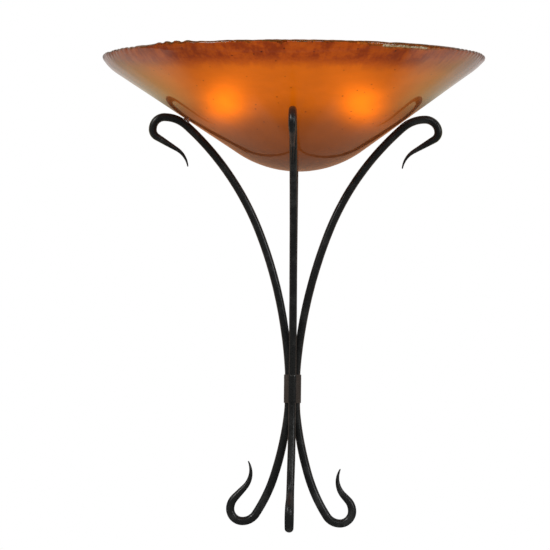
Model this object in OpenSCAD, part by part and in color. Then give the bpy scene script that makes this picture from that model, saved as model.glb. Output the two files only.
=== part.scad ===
// Wall sconce: three forged iron arms carry a half bowl of amber glass in front of a wall.
// Millimetres. The wall is the plane y = 0, the sconce stands out from it towards -Y, and
// +Z is up. The origin is the centre of the mounting plate on the wall.

/* [Arms] */
// Diameter of the round bar that the arms are forged from
bar_d = 9.5; // [7:0.5:12]
// Gap between neighbouring bars in the bundle
bundle_gap = 0.2; // [0.1:0.1:1]
// Radius of the short bend where an arm springs away above the collar
spring_r = 78; // [50:1:120]
// Turn of that bend in degrees
spring_turn = 3.6; // [2:0.1:6]
// Radius of the long lower sweep of an arm
sweep_r = 562; // [480:1:640]
// Turn of the long lower sweep in degrees
sweep_turn = 17.9; // [15:0.1:20]
// Radius of the upper flare of an arm
flare_r = 340; // [300:1:380]
// Turn of the upper flare in degrees
flare_turn = 26.8; // [24:0.1:29]
// Radius of the shoulder where the glass rests
shoulder_r = 41; // [34:0.5:50]
// Radius of the crown at the outer end of an arm
crown_r = 15.4; // [11:0.1:20]
// Radius of the bend where the hook starts back inwards
heel_r = 10.6; // [8:0.1:14]
// Turn of that bend in degrees
heel_turn = 59; // [50:1:68]
// Straight run of the hook
hook_run = 29; // [15:0.5:35]
// Radius of the reverse bend at the tip of the hook
hook_tip_r = 29; // [20:0.5:36]
// Turn of that reverse bend in degrees
hook_tip_turn = 51; // [35:1:65]
// How the hook thins out, 1 for evenly, less for sooner
hook_taper = 0.8; // [0.5:0.1:2]

/* [Feet] */
// Radius of the short bend below the collar
foot_spring_r = 150; // [90:1:250]
// Turn of that bend in degrees
foot_spring_turn = 6; // [4:0.1:8]
// Radius of the long sweep of a foot
foot_sweep_r = 387; // [330:1:450]
// Turn of that sweep in degrees
foot_sweep_turn = 11.4; // [9:0.1:13]
// Radius of the lower flare of a foot
foot_flare_r = 193; // [160:1:230]
// Turn of the lower flare in degrees
foot_flare_turn = 15.6; // [13:0.1:18]
// Radius of the sole, where a foot turns level
sole_r = 19.5; // [15:0.1:25]
// Radius of the toe, where a foot turns upwards
toe_r = 15; // [12:0.1:19]
// Radius of the bend where the foot starts back inwards
toe_heel_r = 20; // [15:0.1:25]
// Turn of that bend in degrees
toe_heel_turn = 43; // [36:1:50]
// Straight run of the left foot's tail
left_tail_run = 17.5; // [8:0.5:20]
// Straight run of the right foot's tail
right_tail_run = 8; // [6:0.5:18]
// Straight run of the front foot's tail
front_tail_run = 13; // [8:0.5:18]
// Radius of the reverse bend at the tip of the tail
tail_tip_r = 28; // [22:0.5:34]
// Turn of that reverse bend in degrees
tail_tip_turn = 70; // [55:1:80]
// How the tail thins out, 1 for evenly, more for later
tail_taper = 1.4; // [0.5:0.1:2]
// How much lower the left foot hangs than the right foot
left_foot_drop = -1.5; // [-4:0.5:4]
// How much lower the front foot hangs than the right foot
front_foot_drop = 4; // [0:0.5:8]
// Diameter at the very tip of every hook and tail
tip_d = 1.6; // [1:0.1:3]

/* [Collar and spine] */
// Height of the collar wrapped round the bundle
collar_h = 35; // [25:1:45]
// Thickness of the collar strip
collar_t = 1.0; // [0.8:0.1:2]
// Width of the bar at the back of the bundle
spine_w = 8; // [6:0.5:9]
// Thickness of the bar at the back of the bundle
spine_t = 6.5; // [5:0.5:8]
// How far the spine reaches below the collar
spine_tail = 5; // [2:0.5:10]
// Distance from the origin down to the top of the spine
spine_top_drop = 21; // [19:0.5:24]
// Diameter of the two rivets that join spine and plate
rivet_d = 5; // [4:0.1:5]
// Diameter of the rivet heads
rivet_head_d = 7.6; // [7:0.1:8]
// Distance between the two rivets
rivet_pitch = 14; // [11:0.5:16]

/* [Glass] */
// Radius of the bowl at its rim
bowl_r = 238.5; // [225:0.5:250]
// Thickness of the glass
glass_t = 6; // [4:0.5:8]
// Slope of the bowl's side above the horizontal in degrees
bowl_slope = 35.2; // [34:0.1:37]
// Radius of the round bottom of the bowl
bottom_r = 135; // [100:1:160]
// Distance from the origin down to the bottom of the bowl
bowl_drop = 81.2; // [77:0.1:85]
// Distance from the wall to the back edge of the glass
glass_wall_gap = 9.5; // [9.3:0.1:12]
// Thickness of the clear bumpers between glass and arms
pad_t = 0.8; // [0.6:0.1:2]
// Length of a bumper along the arm in degrees of the shoulder
pad_turn = 10; // [6:0.5:12]

/* [Canopy and plate] */
// Radius of the round canopy
canopy_r = 63.5; // [58:0.5:66]
// Depth of the canopy
canopy_depth = 20; // [18:0.5:24]
// Thickness of the canopy sheet
canopy_t = 1.2; // [0.8:0.1:1.6]
// Radius of the canopy's front edge
canopy_edge_r = 4; // [2.5:0.5:6]
// Width of the mounting plate
plate_w = 104; // [100:1:108]
// Height of the mounting plate
plate_h = 44; // [40:1:50]
// Thickness of the mounting plate
plate_t = 2.5; // [2:0.1:3]
// Corner radius of the mounting plate
plate_corner_r = 5; // [2:0.5:8]
// Width of the plate's tongue under the spine
tongue_w = 24; // [18:1:30]
// Distance from the origin down to the tongue's end
tongue_drop = 52; // [50:0.5:55]
// Distance between the two wall screws
wall_screw_pitch = 88.9; // [84:0.1:90]
// Width of the slots for the wall screws
slot_w = 4.8; // [4.2:0.1:6]
// End to end length of those slots
slot_len = 11; // [8:0.5:12]
// Radius of the wire hole in the plate
wire_hole_r = 11; // [8:0.5:13]
// Distance from the middle to each canopy stud
stud_x = 32; // [26:0.5:36]
// Height of the canopy studs above the middle
stud_z = 14; // [12:0.5:16]
// Diameter of the canopy studs
stud_d = 4.1; // [3.5:0.1:5]
// Width across the flats of the cap nuts
cap_nut_af = 9; // [8:0.1:11]
// Height of the hexagon of a cap nut
cap_nut_hex_h = 4.5; // [3:0.1:6]
// Diameter of the ground screw
ground_screw_d = 4; // [3:0.1:5]

/* [Lamp holders] */
// Distance from the wall to the axis of the lamps
lamp_depth = 52; // [50:0.5:58]
// Upward tilt of the lamps in degrees
lamp_tilt = 5; // [0:0.5:8]
// Distance from the middle to the centre of each bulb
lamp_reach = 87; // [85:0.5:94]
// Distance from the middle to the inside of each bracket tab
tab_reach = 9; // [8:0.1:10]
// Width of the bracket tabs
tab_w = 30; // [28:1:34]
// Thickness of the bracket sheet
bracket_t = 1.6; // [1.2:0.1:2]
// Outer radius of a lamp holder
socket_r = 17.5; // [16.5:0.1:19]
// Length of a lamp holder
socket_len = 34; // [31:0.5:36]
// Thickness of the back of a lamp holder
socket_web = 8.5; // [8:0.1:9]
// Inner radius of the screw shell
shell_r = 13.3; // [13.25:0.05:13.6]
// Thickness of the screw shell
shell_t = 0.5; // [0.3:0.1:0.7]
// Length of the screw shell
shell_len = 22; // [18:0.5:23]
// Distance from the lamp axis to each holder screw
holder_screw_reach = 11; // [10:0.1:12]
// Diameter of the holder screws
holder_screw_d = 3; // [2.5:0.1:3.5]
// Outer diameter of the hollow nipple that clamps the bracket
nipple_d = 9.6; // [9:0.1:10.5]
// Bore of the nipple
nipple_bore = 7; // [6.8:0.1:7.4]
// Width across the flats of the nipple's nuts
nipple_nut_af = 12.5; // [12:0.1:14]
// Thickness of the nipple's nuts
nipple_nut_t = 2.6; // [2:0.1:3]
// Diameter of the insulated leads
lead_d = 1.9; // [1.5:0.1:2]

/* [Bulbs] */
// Radius of the bulb at its widest
bulb_r = 24; // [21:0.5:25]
// Length of the bulb from contact to crown
bulb_len = 89; // [87:0.5:92]
// Radius of the bulb's screw cap
cap_r = 13; // [12.5:0.05:13]
// Length of the bulb's screw cap
cap_len = 20; // [19:0.5:21]
// Wall of the bulb glass
bulb_wall = 0.8; // [0.5:0.1:1.2]

/* [Hidden] */

// Finish colours
iron = [0.12, 0.12, 0.12];
steel = [0.72, 0.72, 0.74];
brass = [0.80, 0.65, 0.30];
amber = [0.85, 0.42, 0.10];
milky = [0.95, 0.94, 0.90];
dark_glass = [0.10, 0.10, 0.14];
clear = [0.85, 0.88, 0.88];

// Clearances
fit_gap = 0.05;
seat_gap = 0.3;
notch_gap = 0.5;

// Places that follow from the driving sizes
bar_r = bar_d / 2;
bundle_x = bar_r + bundle_gap / 2;
spine_back = plate_t;
side_depth = spine_back + spine_t + bundle_gap + bar_r;
front_depth = side_depth + sqrt(pow(bar_d + bundle_gap, 2) - pow(bundle_x, 2));
arm_origin_depth = front_depth - bundle_x;
spine_top = -spine_top_drop;
shoulder_start = spring_turn + sweep_turn + flare_turn;
foot_sole_start = foot_spring_turn + foot_sweep_turn + foot_flare_turn;
quarter = 90;
$fn = 48;

// Run of bends of an arm above the collar: [radius, turn] or [0, straight length]
arm_bends = [
    [0, collar_h / 2],
    [spring_r, spring_turn],
    [sweep_r, sweep_turn],
    [flare_r, flare_turn],
    [shoulder_r, quarter - shoulder_start],
    [crown_r, quarter],
    [heel_r, heel_turn],
    [0, hook_run],
    [hook_tip_r, -hook_tip_turn]
];

// Run of bends of a foot below the collar, hanging lower by drop
function foot_bends(drop, tail_run) = [
    [0, collar_h / 2 + drop],
    [foot_spring_r, foot_spring_turn],
    [foot_sweep_r, foot_sweep_turn],
    [foot_flare_r, foot_flare_turn],
    [sole_r, quarter - foot_sole_start],
    [toe_r, quarter],
    [toe_heel_r, toe_heel_turn],
    [0, tail_run],
    [tail_tip_r, -tail_tip_turn]
];
tail_bends = 3;
bends_to_shoulder = 4;

// A place on a run is [out, along, heading, length so far]; heading 0 is straight along
function bend_length(b) = b[0] == 0 ? b[1] : b[0] * abs(b[1]) * PI / 180;
function bend_share(b, share) = [b[0], b[1] * share];
function after_bend(s, b) =
    b[0] == 0
    ? [s[0] + b[1] * sin(s[2]), s[1] + b[1] * cos(s[2]), s[2], s[3] + b[1]]
    : let (h = s[2] + b[1], r = sign(b[1]) * b[0])
      [s[0] + r * (cos(s[2]) - cos(h)), s[1] + r * (sin(h) - sin(s[2])), h, s[3] + bend_length(b)];
ring_turn = 7;
ring_spacing = 20;
function bend_steps(b) =
    (b[0] == 0 ? 0 : ceil(abs(b[1]) / ring_turn)) + ceil(bend_length(b) / ring_spacing);
function run_places(bends, s, i = 0) =
    i == len(bends) ? [s] :
    let (n = bend_steps(bends[i]))
    concat([for (j = [0 : n - 1]) after_bend(s, bend_share(bends[i], j / n))],
           run_places(bends, after_bend(s, bends[i]), i + 1));
function total(v, first, last) = first > last ? 0 : v[first] + total(v, first + 1, last);

// Bar radius at a length along a run whose last bends thin out to the tip
function run_radius(bends, power, s) =
    let (lengths = [for (b = bends) bend_length(b)],
         whole = total(lengths, 0, len(bends) - 1),
         tail = total(lengths, len(bends) - tail_bends, len(bends) - 1),
         share = max(0, (s[3] - whole + tail) / tail))
    bar_r + (tip_d / 2 - bar_r) * pow(share, power);

// The glass rests where an arm runs along the slope of the bowl, and the collar hangs as
// far below that place as the arm's bends reach
contact_heading = quarter - bowl_slope;
to_shoulder = run_places([for (i = [0 : bends_to_shoulder - 1]) arm_bends[i]], [bundle_x, 0, 0, 0]);
shoulder_place = to_shoulder[len(to_shoulder) - 1];
contact_place = after_bend(shoulder_place, [shoulder_r, contact_heading - shoulder_start]);
rest_gap = bar_r + pad_t + seat_gap;
touch_r = contact_place[0] - rest_gap * cos(contact_heading);
touch_rise = contact_place[1] + rest_gap * sin(contact_heading);
bottom_centre_z = bottom_r - bowl_drop;
touch_z = bottom_centre_z - (bottom_r - touch_r * sin(bowl_slope)) / cos(bowl_slope);
collar_z = touch_z - touch_rise;
spine_bottom = collar_z - collar_h / 2 - spine_tail;
bowl_depth = arm_origin_depth;

// Vectors along a path of points, with a side direction carried from ring to ring
function unit(v) = v / norm(v);
function tangent(p, i) = unit(p[min(i + 1, len(p) - 1)] - p[max(i - 1, 0)]);
function carried_sides(p, sides, i = 1) =
    i == len(p) ? sides :
    let (t = tangent(p, i), s = sides[i - 1])
    carried_sides(p, concat(sides, [unit(s - (s * t) * t)]), i + 1);

// Round bar or wire along points, with its own radius at each point
module swept(points, radii, sides, first_side) {
    n = len(points);
    across = carried_sides(points, [first_side]);
    ring_points = [
        for (i = [0 : n - 1])
            let (t = tangent(points, i), s = across[i], b = cross(t, s))
            for (j = [0 : sides - 1])
                points[i] + radii[i] * (cos(360 * j / sides) * s + sin(360 * j / sides) * b)
    ];
    skin = [
        for (i = [0 : n - 2], j = [0 : sides - 1])
            let (a = i * sides + j, b = i * sides + (j + 1) % sides)
            each [[a, a + sides, b + sides], [a, b + sides, b]]
    ];
    start_cap = [[for (j = [0 : sides - 1]) j]];
    end_cap = [[for (j = [sides - 1 : -1 : 0]) (n - 1) * sides + j]];
    polyhedron(ring_points, concat(skin, start_cap, end_cap), convexity = 10);
}

// One forged arm with its hook and foot, lying in the XZ plane round the collar's middle
module forged_bar(foot_drop, tail_run) {
    lower = foot_bends(foot_drop, tail_run);
    up = run_places(arm_bends, [bundle_x, 0, 0, 0]);
    down = run_places(lower, [bundle_x, 0, 0, 0]);
    down_last = len(down) - 1;
    points = concat(
        [for (i = [down_last : -1 : 1]) [down[i][0], 0, -down[i][1]]],
        [for (s = up) [s[0], 0, s[1]]]);
    radii = concat(
        [for (i = [down_last : -1 : 1]) run_radius(lower, tail_taper, down[i])],
        [for (s = up) run_radius(arm_bends, hook_taper, s)]);
    swept(points, radii, 12, [0, 1, 0]);
}

module right_arm() {
    color(iron) translate([0, -side_depth, collar_z]) forged_bar(0, right_tail_run);
}

module left_arm() {
    color(iron) mirror([1, 0, 0]) translate([0, -side_depth, collar_z])
        forged_bar(left_foot_drop, left_tail_run);
}

module front_arm() {
    color(iron) translate([0, -arm_origin_depth, collar_z]) rotate([0, 0, -90])
        forged_bar(front_foot_drop, front_tail_run);
}

// Outline of the bundle seen from above, grown by a margin
module bundle_outline(margin) {
    hull() {
        for (x = [-bundle_x, bundle_x])
            translate([x, -side_depth]) circle(r = bar_r + margin);
        translate([0, -front_depth]) circle(r = bar_r + margin);
        translate([-spine_w / 2 - margin, -spine_back - spine_t])
            square([spine_w + 2 * margin, spine_t + margin]);
    }
}

module collar() {
    color(iron) translate([0, 0, collar_z - collar_h / 2])
        linear_extrude(collar_h) difference() {
            bundle_outline(fit_gap + collar_t);
            bundle_outline(fit_gap);
        }
}

rivet_zs = [for (i = [0, 1]) spine_top - rivet_head_d - i * rivet_pitch];

module spine_bar() {
    color(iron) difference() {
        translate([-spine_w / 2, -spine_back - spine_t, spine_bottom])
            cube([spine_w, spine_t, spine_top - spine_bottom]);
        for (z = rivet_zs) along_wall_normal(0, z, spine_back - 1, spine_back + spine_t + 1)
            circle(d = rivet_d + 2 * fit_gap);
    }
}

// Extrudes a flat shape outwards from the wall, from one depth to another
module along_wall_normal(x, z, from, to) {
    translate([x, -from, z]) rotate([90, 0, 0]) linear_extrude(to - from) children();
}

// Turns a half profile, drawn as [radius, depth], about an axis that stands on the wall
module turned_on_wall(x, z) {
    translate([x, 0, z]) rotate([90, 0, 0]) rotate_extrude() children();
}

module spine_rivets() {
    head_h = 2;
    color(iron) for (z = rivet_zs) turned_on_wall(0, z) union() {
        square([rivet_d / 2, spine_back + spine_t + head_h / 2]);
        translate([0, spine_back + spine_t]) intersection() {
            translate([0, head_h - rivet_head_d]) circle(r = rivet_head_d);
            square([rivet_head_d / 2, head_h]);
        }
    }
}

// Flat rectangle with true round corners, centred on the origin
module rounded_plate(w, h, r) {
    square([w - 2 * r, h], center = true);
    square([w, h - 2 * r], center = true);
    for (x = [-1, 1], z = [-1, 1]) translate([x * (w / 2 - r), z * (h / 2 - r)]) circle(r = r);
}

module slot(len, w) {
    square([len - w, w], center = true);
    for (x = [-1, 1]) translate([x * (len - w) / 2, 0]) circle(d = w);
}

// Head of a screw as a share of its diameter
head_width_share = 1.8;
head_height_share = 0.6;

tongue_h = tongue_drop + plate_h / 4;
ground_place = [-25, -13];

module mounting_plate() {
    color(steel) along_wall_normal(0, 0, 0, plate_t) difference() {
        union() {
            rounded_plate(plate_w, plate_h, plate_corner_r);
            translate([0, -tongue_drop + tongue_h / 2])
                rounded_plate(tongue_w, tongue_h, plate_corner_r);
        }
        for (x = [-1, 1]) {
            translate([x * wall_screw_pitch / 2, 0]) slot(slot_len, slot_w);
            translate([x * stud_x, stud_z]) circle(d = stud_d + 2 * fit_gap);
        }
        circle(r = wire_hole_r);
        translate(ground_place) circle(d = ground_screw_d + 2 * fit_gap);
        for (z = rivet_zs) translate([0, z]) circle(d = rivet_d + 2 * fit_gap);
    }
}

// Half profile of the canopy's outside: a disc with a round front edge
module canopy_profile(r, depth, edge) {
    square([r - edge, depth]);
    square([r, depth - edge]);
    translate([r - edge, depth - edge]) circle(r = edge);
}

module canopy() {
    color(iron) difference() {
        turned_on_wall(0, 0) difference() {
            intersection() {
                canopy_profile(canopy_r, canopy_depth, canopy_edge_r);
                translate([0, seat_gap]) square([canopy_r, canopy_depth]);
            }
            canopy_profile(canopy_r - canopy_t, canopy_depth - canopy_t, canopy_edge_r - canopy_t);
        }
        along_wall_normal(0, 0, 0, canopy_depth + 1) circle(d = nipple_d + 2 * fit_gap);
        for (x = [-1, 1]) along_wall_normal(x * stud_x, stud_z, 0, canopy_depth + 1)
            circle(d = stud_d + 2 * fit_gap);
        translate([0, 0, -canopy_r]) along_wall_normal(0, 0, 0, spine_back + spine_t + notch_gap)
            square([spine_w + 2 * notch_gap, 4 * canopy_edge_r], center = true);
    }
}

stud_end = canopy_depth + cap_nut_hex_h;

module canopy_studs() {
    color(steel) for (x = [-1, 1])
        along_wall_normal(x * stud_x, stud_z, 0, stud_end) circle(d = stud_d);
}

// Six-sided outline of a nut
module hexagon(across_flats) {
    circle(d = across_flats / cos(30), $fn = 6);
}

module cap_nuts() {
    dome_step = 0.2;
    dome_r = cap_nut_af / 2 - dome_step;
    color(iron) for (x = [-1, 1]) difference() {
        union() {
            along_wall_normal(x * stud_x, stud_z, canopy_depth, canopy_depth + cap_nut_hex_h)
                hexagon(cap_nut_af);
            turned_on_wall(x * stud_x, stud_z) translate([0, canopy_depth + cap_nut_hex_h])
                intersection() {
                    circle(r = dome_r);
                    square(dome_r);
                }
        }
        along_wall_normal(x * stud_x, stud_z, canopy_depth - 1, stud_end + seat_gap)
            circle(d = stud_d + 2 * fit_gap);
    }
}

module ground_screw() {
    head_r = ground_screw_d * head_width_share / 2;
    head_h = ground_screw_d * head_height_share;
    color([0.15, 0.45, 0.2]) difference() {
        turned_on_wall(ground_place[0], ground_place[1]) union() {
            square([ground_screw_d / 2, plate_t + head_h / 2]);
            translate([0, plate_t]) square([head_r, head_h]);
        }
        along_wall_normal(ground_place[0], ground_place[1], plate_t + head_h / 2, plate_t + head_h + 1)
            square([2 * head_r + 1, head_h / 3], center = true);
    }
}

thread_spare = 1.5;
nipple_back = canopy_depth - canopy_t - nipple_nut_t - thread_spare;
nipple_front = canopy_depth + bracket_t + nipple_nut_t + thread_spare;

module nipple() {
    color(brass) along_wall_normal(0, 0, nipple_back, nipple_front) difference() {
        circle(d = nipple_d);
        circle(d = nipple_bore);
    }
}

module nipple_nut(depth) {
    along_wall_normal(0, 0, depth, depth + nipple_nut_t) difference() {
        hexagon(nipple_nut_af);
        circle(d = nipple_d + 2 * fit_gap);
    }
}

module nipple_nuts() {
    color(steel) {
        nipple_nut(canopy_depth + bracket_t);
        nipple_nut(canopy_depth - canopy_t - nipple_nut_t);
    }
}

// Insulating ring that guards the leads at the front mouth of the nipple
module wire_bushing() {
    bushing_t = 1.5;
    color("white") along_wall_normal(0, 0, nipple_front, nipple_front + bushing_t) difference() {
        circle(d = nipple_d + bushing_t);
        circle(d = nipple_bore);
    }
}

// Puts its children in the frame of one lamp: X out along the lamp, on side 1 or -1
module on_lamp(side) {
    mirror([side < 0 ? 1 : 0, 0, 0])
        translate([0, -lamp_depth, 0]) rotate([0, -lamp_tilt, 0]) children();
}

// Turns a half profile, drawn as [distance along the lamp, radius], about the lamp's axis
module turned_on_lamp(side) {
    on_lamp(side) rotate([0, 90, 0]) rotate_extrude() rotate(90) mirror([0, 1]) children();
}

socket_start = tab_reach + bracket_t;
socket_end = socket_start + socket_len;
socket_floor = socket_start + socket_web;
socket_edge_r = 1.5;
screw_cover = 2;
screw_end = socket_floor - screw_cover;
cavity_r = shell_r + shell_t + fit_gap;
lead_hole_r = lead_d / 2 + 0.25;
// Where the leads leave each holder: [towards the wall, up] from the lamp's axis
live_hole = [6, -5];
neutral_hole = [-6, 5];
lead_holes = [live_hole, neutral_hole];
lead_entry = 5;

module on_tab(side, from, to) {
    on_lamp(side) translate([from, 0, 0]) rotate([90, 0, 90]) linear_extrude(to - from) children();
}

module socket_bracket() {
    pad_depth = canopy_depth;
    top = tab_w / 2;
    color(steel) difference() {
        union() {
            for (side = [-1, 1]) on_tab(side, tab_reach, tab_reach + bracket_t) {
                circle(r = tab_w / 2);
                translate([0, -tab_w / 2]) square([lamp_depth - pad_depth, tab_w]);
            }
            along_wall_normal(0, 0, pad_depth, pad_depth + bracket_t) polygon([
                for (p = [[1, -1], [1, 1], [-1, 1], [-1, -1]])
                    [p[0] * ((tab_reach + bracket_t / 2) * cos(lamp_tilt) - p[1] * top * sin(lamp_tilt)),
                     p[1] * top * cos(lamp_tilt) + (tab_reach + bracket_t / 2) * sin(lamp_tilt)]
            ]);
        }
        along_wall_normal(0, 0, pad_depth - 1, pad_depth + bracket_t + 1)
            circle(d = nipple_d + 2 * fit_gap);
        for (side = [-1, 1]) on_tab(side, tab_reach - 1, tab_reach + bracket_t + 1) {
            for (h = lead_holes) translate(h) circle(r = lead_hole_r + notch_gap);
            for (z = [-1, 1]) translate([0, z * holder_screw_reach])
                circle(d = holder_screw_d + 2 * fit_gap);
        }
    }
}

module socket(side) {
    color([0.08, 0.08, 0.08]) difference() {
        turned_on_lamp(side) difference() {
            union() {
                translate([socket_start, 0]) square([socket_len - socket_edge_r, socket_r]);
                translate([socket_start, 0]) square([socket_len, socket_r - socket_edge_r]);
                translate([socket_end - socket_edge_r, socket_r - socket_edge_r])
                    circle(r = socket_edge_r);
            }
            translate([socket_floor, 0]) square([socket_len, cavity_r]);
        }
        on_tab(side, socket_start - 1, socket_start + lead_entry)
            for (h = lead_holes) translate(h) circle(r = lead_hole_r);
        on_tab(side, socket_start - 1, screw_end + screw_cover / 2)
            for (z = [-1, 1]) translate([0, z * holder_screw_reach])
                circle(d = holder_screw_d + 2 * fit_gap);
    }
}

module left_socket() { socket(-1); }
module right_socket() { socket(1); }

module socket_screws() {
    head_h = holder_screw_d * head_height_share;
    color(steel) for (side = [-1, 1], z = [-1, 1]) {
        on_tab(side, tab_reach - head_h, tab_reach) translate([0, z * holder_screw_reach])
            circle(d = holder_screw_d * head_width_share);
        on_tab(side, tab_reach - head_h / 2, screw_end) translate([0, z * holder_screw_reach])
            circle(d = holder_screw_d);
    }
}

module screw_shell(side) {
    color(brass) turned_on_lamp(side) difference() {
        translate([socket_floor, 0]) square([shell_len, shell_r + shell_t]);
        translate([socket_floor + shell_t, 0]) square([shell_len, shell_r]);
        translate([socket_floor - 1, 0]) square([shell_len, contact_r + contact_clearance]);
    }
}

module left_screw_shell() { screw_shell(-1); }
module right_screw_shell() { screw_shell(1); }

contact_r = 5;
contact_t = 0.8;
contact_clearance = 2;
bulb_start = lamp_reach - (bulb_len - bulb_r);

// Centre contact: a disc on the holder's floor with a raised button under the bulb
module centre_contact(side) {
    color(brass) turned_on_lamp(side) union() {
        translate([socket_floor, 0]) square([contact_t, contact_r]);
        translate([socket_floor, 0]) square([bulb_start - seat_gap - socket_floor, contact_r / 2]);
    }
}

module left_contact() { centre_contact(-1); }
module right_contact() { centre_contact(1); }

tip_r = 4.7;
tip_len = 2;
insulator_len = 3.2;
cap_start = bulb_start + tip_len + insulator_len;
cap_end = cap_start + cap_len;
cap_t = 0.4;
cap_lap = 1;
cap_mouth_r = cap_r - 2 * cap_lap;
neck_r = cap_r - cap_lap;
bulb_centre = lamp_reach;
// The bulb's neck leaves the round crown where the two arcs touch
neck_arc_r = 40;
neck_turn = acos((neck_r + neck_arc_r) / (bulb_r + neck_arc_r));
neck_start = bulb_centre - (bulb_r + neck_arc_r) * sin(neck_turn);
arc_steps = 12;

// Outline of the bulb glass grown by a margin, as [along, radius]
function bulb_outline(margin) = concat(
    [[cap_end - cap_len / 2, 0], [cap_end - cap_len / 2, neck_r + margin]],
    [for (i = [0 : arc_steps]) let (a = neck_turn * i / arc_steps)
        [neck_start + (neck_arc_r - margin) * sin(a), neck_r + neck_arc_r - (neck_arc_r - margin) * cos(a)]],
    [for (i = [1 : 2 * arc_steps])
        let (a = -neck_turn + (quarter + neck_turn) * i / (2 * arc_steps))
        [bulb_centre + (bulb_r + margin) * sin(a), (bulb_r + margin) * cos(a)]]);

module bulb_glass(side) {
    color(milky) turned_on_lamp(side) difference() {
        polygon(bulb_outline(0));
        difference() {
            polygon(bulb_outline(-bulb_wall));
            translate([cap_end - cap_len / 2, 0]) square([bulb_wall, neck_r]);
        }
    }
}

module bulb_cap(side) {
    color(steel) turned_on_lamp(side) difference() {
        translate([cap_start, 0]) square([cap_len, cap_r]);
        translate([cap_start + cap_t, 0]) square([cap_len, cap_r - cap_t]);
        translate([cap_start - 1, 0]) square([cap_len, cap_mouth_r]);
    }
}

module bulb_insulator(side) {
    color(dark_glass) turned_on_lamp(side) polygon([
        [bulb_start + tip_len, 0], [bulb_start + tip_len, tip_r],
        [cap_start - fit_gap, cap_mouth_r + cap_lap / 2], [cap_start - fit_gap, cap_mouth_r],
        [cap_start + cap_lap, cap_mouth_r - fit_gap], [cap_start + cap_lap, 0]
    ]);
}

// Solder button of the bulb, round about the lamp's axis
module bulb_tip(side) {
    button_len = tip_len / 2;
    color(steel) turned_on_lamp(side) union() {
        translate([bulb_start + button_len, 0]) square([button_len - fit_gap, tip_r]);
        translate([bulb_start, 0]) square([button_len + fit_gap, 0.8 * tip_r]);
    }
}

stem_r = 4;
flare_t = 1.5;
flare_len = 5;
stem_back = 14;
stem_end = bulb_centre - stem_back;
stem_start = cap_end - cap_len / 2 + bulb_wall + seat_gap;
wire_r = 0.4;
wire_spread = 9;
coil_r = 0.65;
coil_bow = 2;

// Glass stem inside the bulb, flared where it closes the neck
module bulb_stem(side) {
    color(clear) turned_on_lamp(side) polygon([
        [stem_start, 0], [stem_start, neck_r - bulb_wall - seat_gap],
        [stem_start + flare_t, neck_r - bulb_wall - flare_t],
        [stem_start + flare_len, stem_r], [stem_end, stem_r * 0.7], [stem_end, 0]
    ]);
}

// Two support wires and the coil that they hold across the bulb, as [along, up, radius]
half_filament = [
    [stem_end + seat_gap, stem_r / 2, wire_r],
    [stem_end + stem_r, 0.8 * stem_r, wire_r],
    [bulb_centre, wire_spread, wire_r],
    [bulb_centre + coil_bow, 0.8 * wire_spread, coil_r]
];
module bulb_filament(side) {
    last = len(half_filament) - 1;
    course = concat(
        [for (p = half_filament) [p[0], -p[1], p[2]]],
        [[bulb_centre + 1.2 * coil_bow, 0, coil_r]],
        [for (i = [last : -1 : 0]) half_filament[i]]);
    color(steel) on_lamp(side)
        swept([for (p = course) [p[0], 0, p[1]]], [for (p = course) p[2]], 8, [0, 1, 0]);
}

module left_bulb_glass() { bulb_glass(-1); }
module left_bulb_cap() { bulb_cap(-1); }
module left_bulb_insulator() { bulb_insulator(-1); }
module left_bulb_tip() { bulb_tip(-1); }
module left_bulb_stem() { bulb_stem(-1); }
module left_bulb_filament() { bulb_filament(-1); }
module right_bulb_glass() { bulb_glass(1); }
module right_bulb_cap() { bulb_cap(1); }
module right_bulb_insulator() { bulb_insulator(1); }
module right_bulb_tip() { bulb_tip(1); }
module right_bulb_stem() { bulb_stem(1); }
module right_bulb_filament() { bulb_filament(1); }

// Smooth curve through hand-chosen points, with a few steps between each pair
curve_steps = 3;
function curve_point(p, i, f) =
    let (last = len(p) - 1, a = p[max(i - 1, 0)], b = p[i], c = p[i + 1], d = p[min(i + 2, last)])
    0.5 * (2 * b + (c - a) * f + (2 * a - 5 * b + 4 * c - d) * f * f
           + (3 * b - a - 3 * c + d) * f * f * f);
function curve(p) = concat(
    [for (i = [0 : len(p) - 2], j = [0 : curve_steps - 1]) curve_point(p, i, j / curve_steps)],
    [p[len(p) - 1]]);

// A place in a lamp's frame, given in the frame of the whole
function lamp_place(side, along, back, up) =
    [side * (along * cos(lamp_tilt) - up * sin(lamp_tilt)),
     back - lamp_depth,
     along * sin(lamp_tilt) + up * cos(lamp_tilt)];

nut_mouth_z = 27;
nut_x = 15;
nut_depth = 10.5;
in_nut = 9;
pair_gap = 1.1;
bore_place = 1.35;
near_turn_depth = 6;
far_turn_depth = 9.5;
gather_ahead = 7;
turn_rise = 5;

// Route of one lead: holder, across the bracket, through the nipple, up to its wire nut.
// side is the lamp that it serves, way is the side of its nut, row is up (1) or down (-1),
// turn_depth is the depth at which it turns aside behind the nipple.
function lead_route(side, way, row, hole, turn_depth) =
    let (x = side * bore_place, z = row * bore_place,
         nut = way * nut_x + side * pair_gap)
    [lamp_place(side, socket_start + lead_entry - 1, hole[0], hole[1]),
     lamp_place(side, socket_start, hole[0], hole[1]),
     lamp_place(side, tab_reach - 1, hole[0] + 0.5, hole[1]),
     [side * 4.6, hole[0] + 4.5 - lamp_depth, row * 4.6],
     [side * 3, -nipple_front - gather_ahead, row * 2.6],
     [x, -nipple_front, z],
     [x, -nipple_back - 1, z],
     [x + way * 1.2, -turn_depth - 1, z + 0.6],
     [way * 6 + side * 0.3, -turn_depth, z + turn_rise],
     [way * 11 + side * pair_gap, -(turn_depth + nut_depth) / 2, 15 + row],
     [nut, -nut_depth, nut_mouth_z - 2],
     [nut, -nut_depth, nut_mouth_z + in_nut]];

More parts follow.
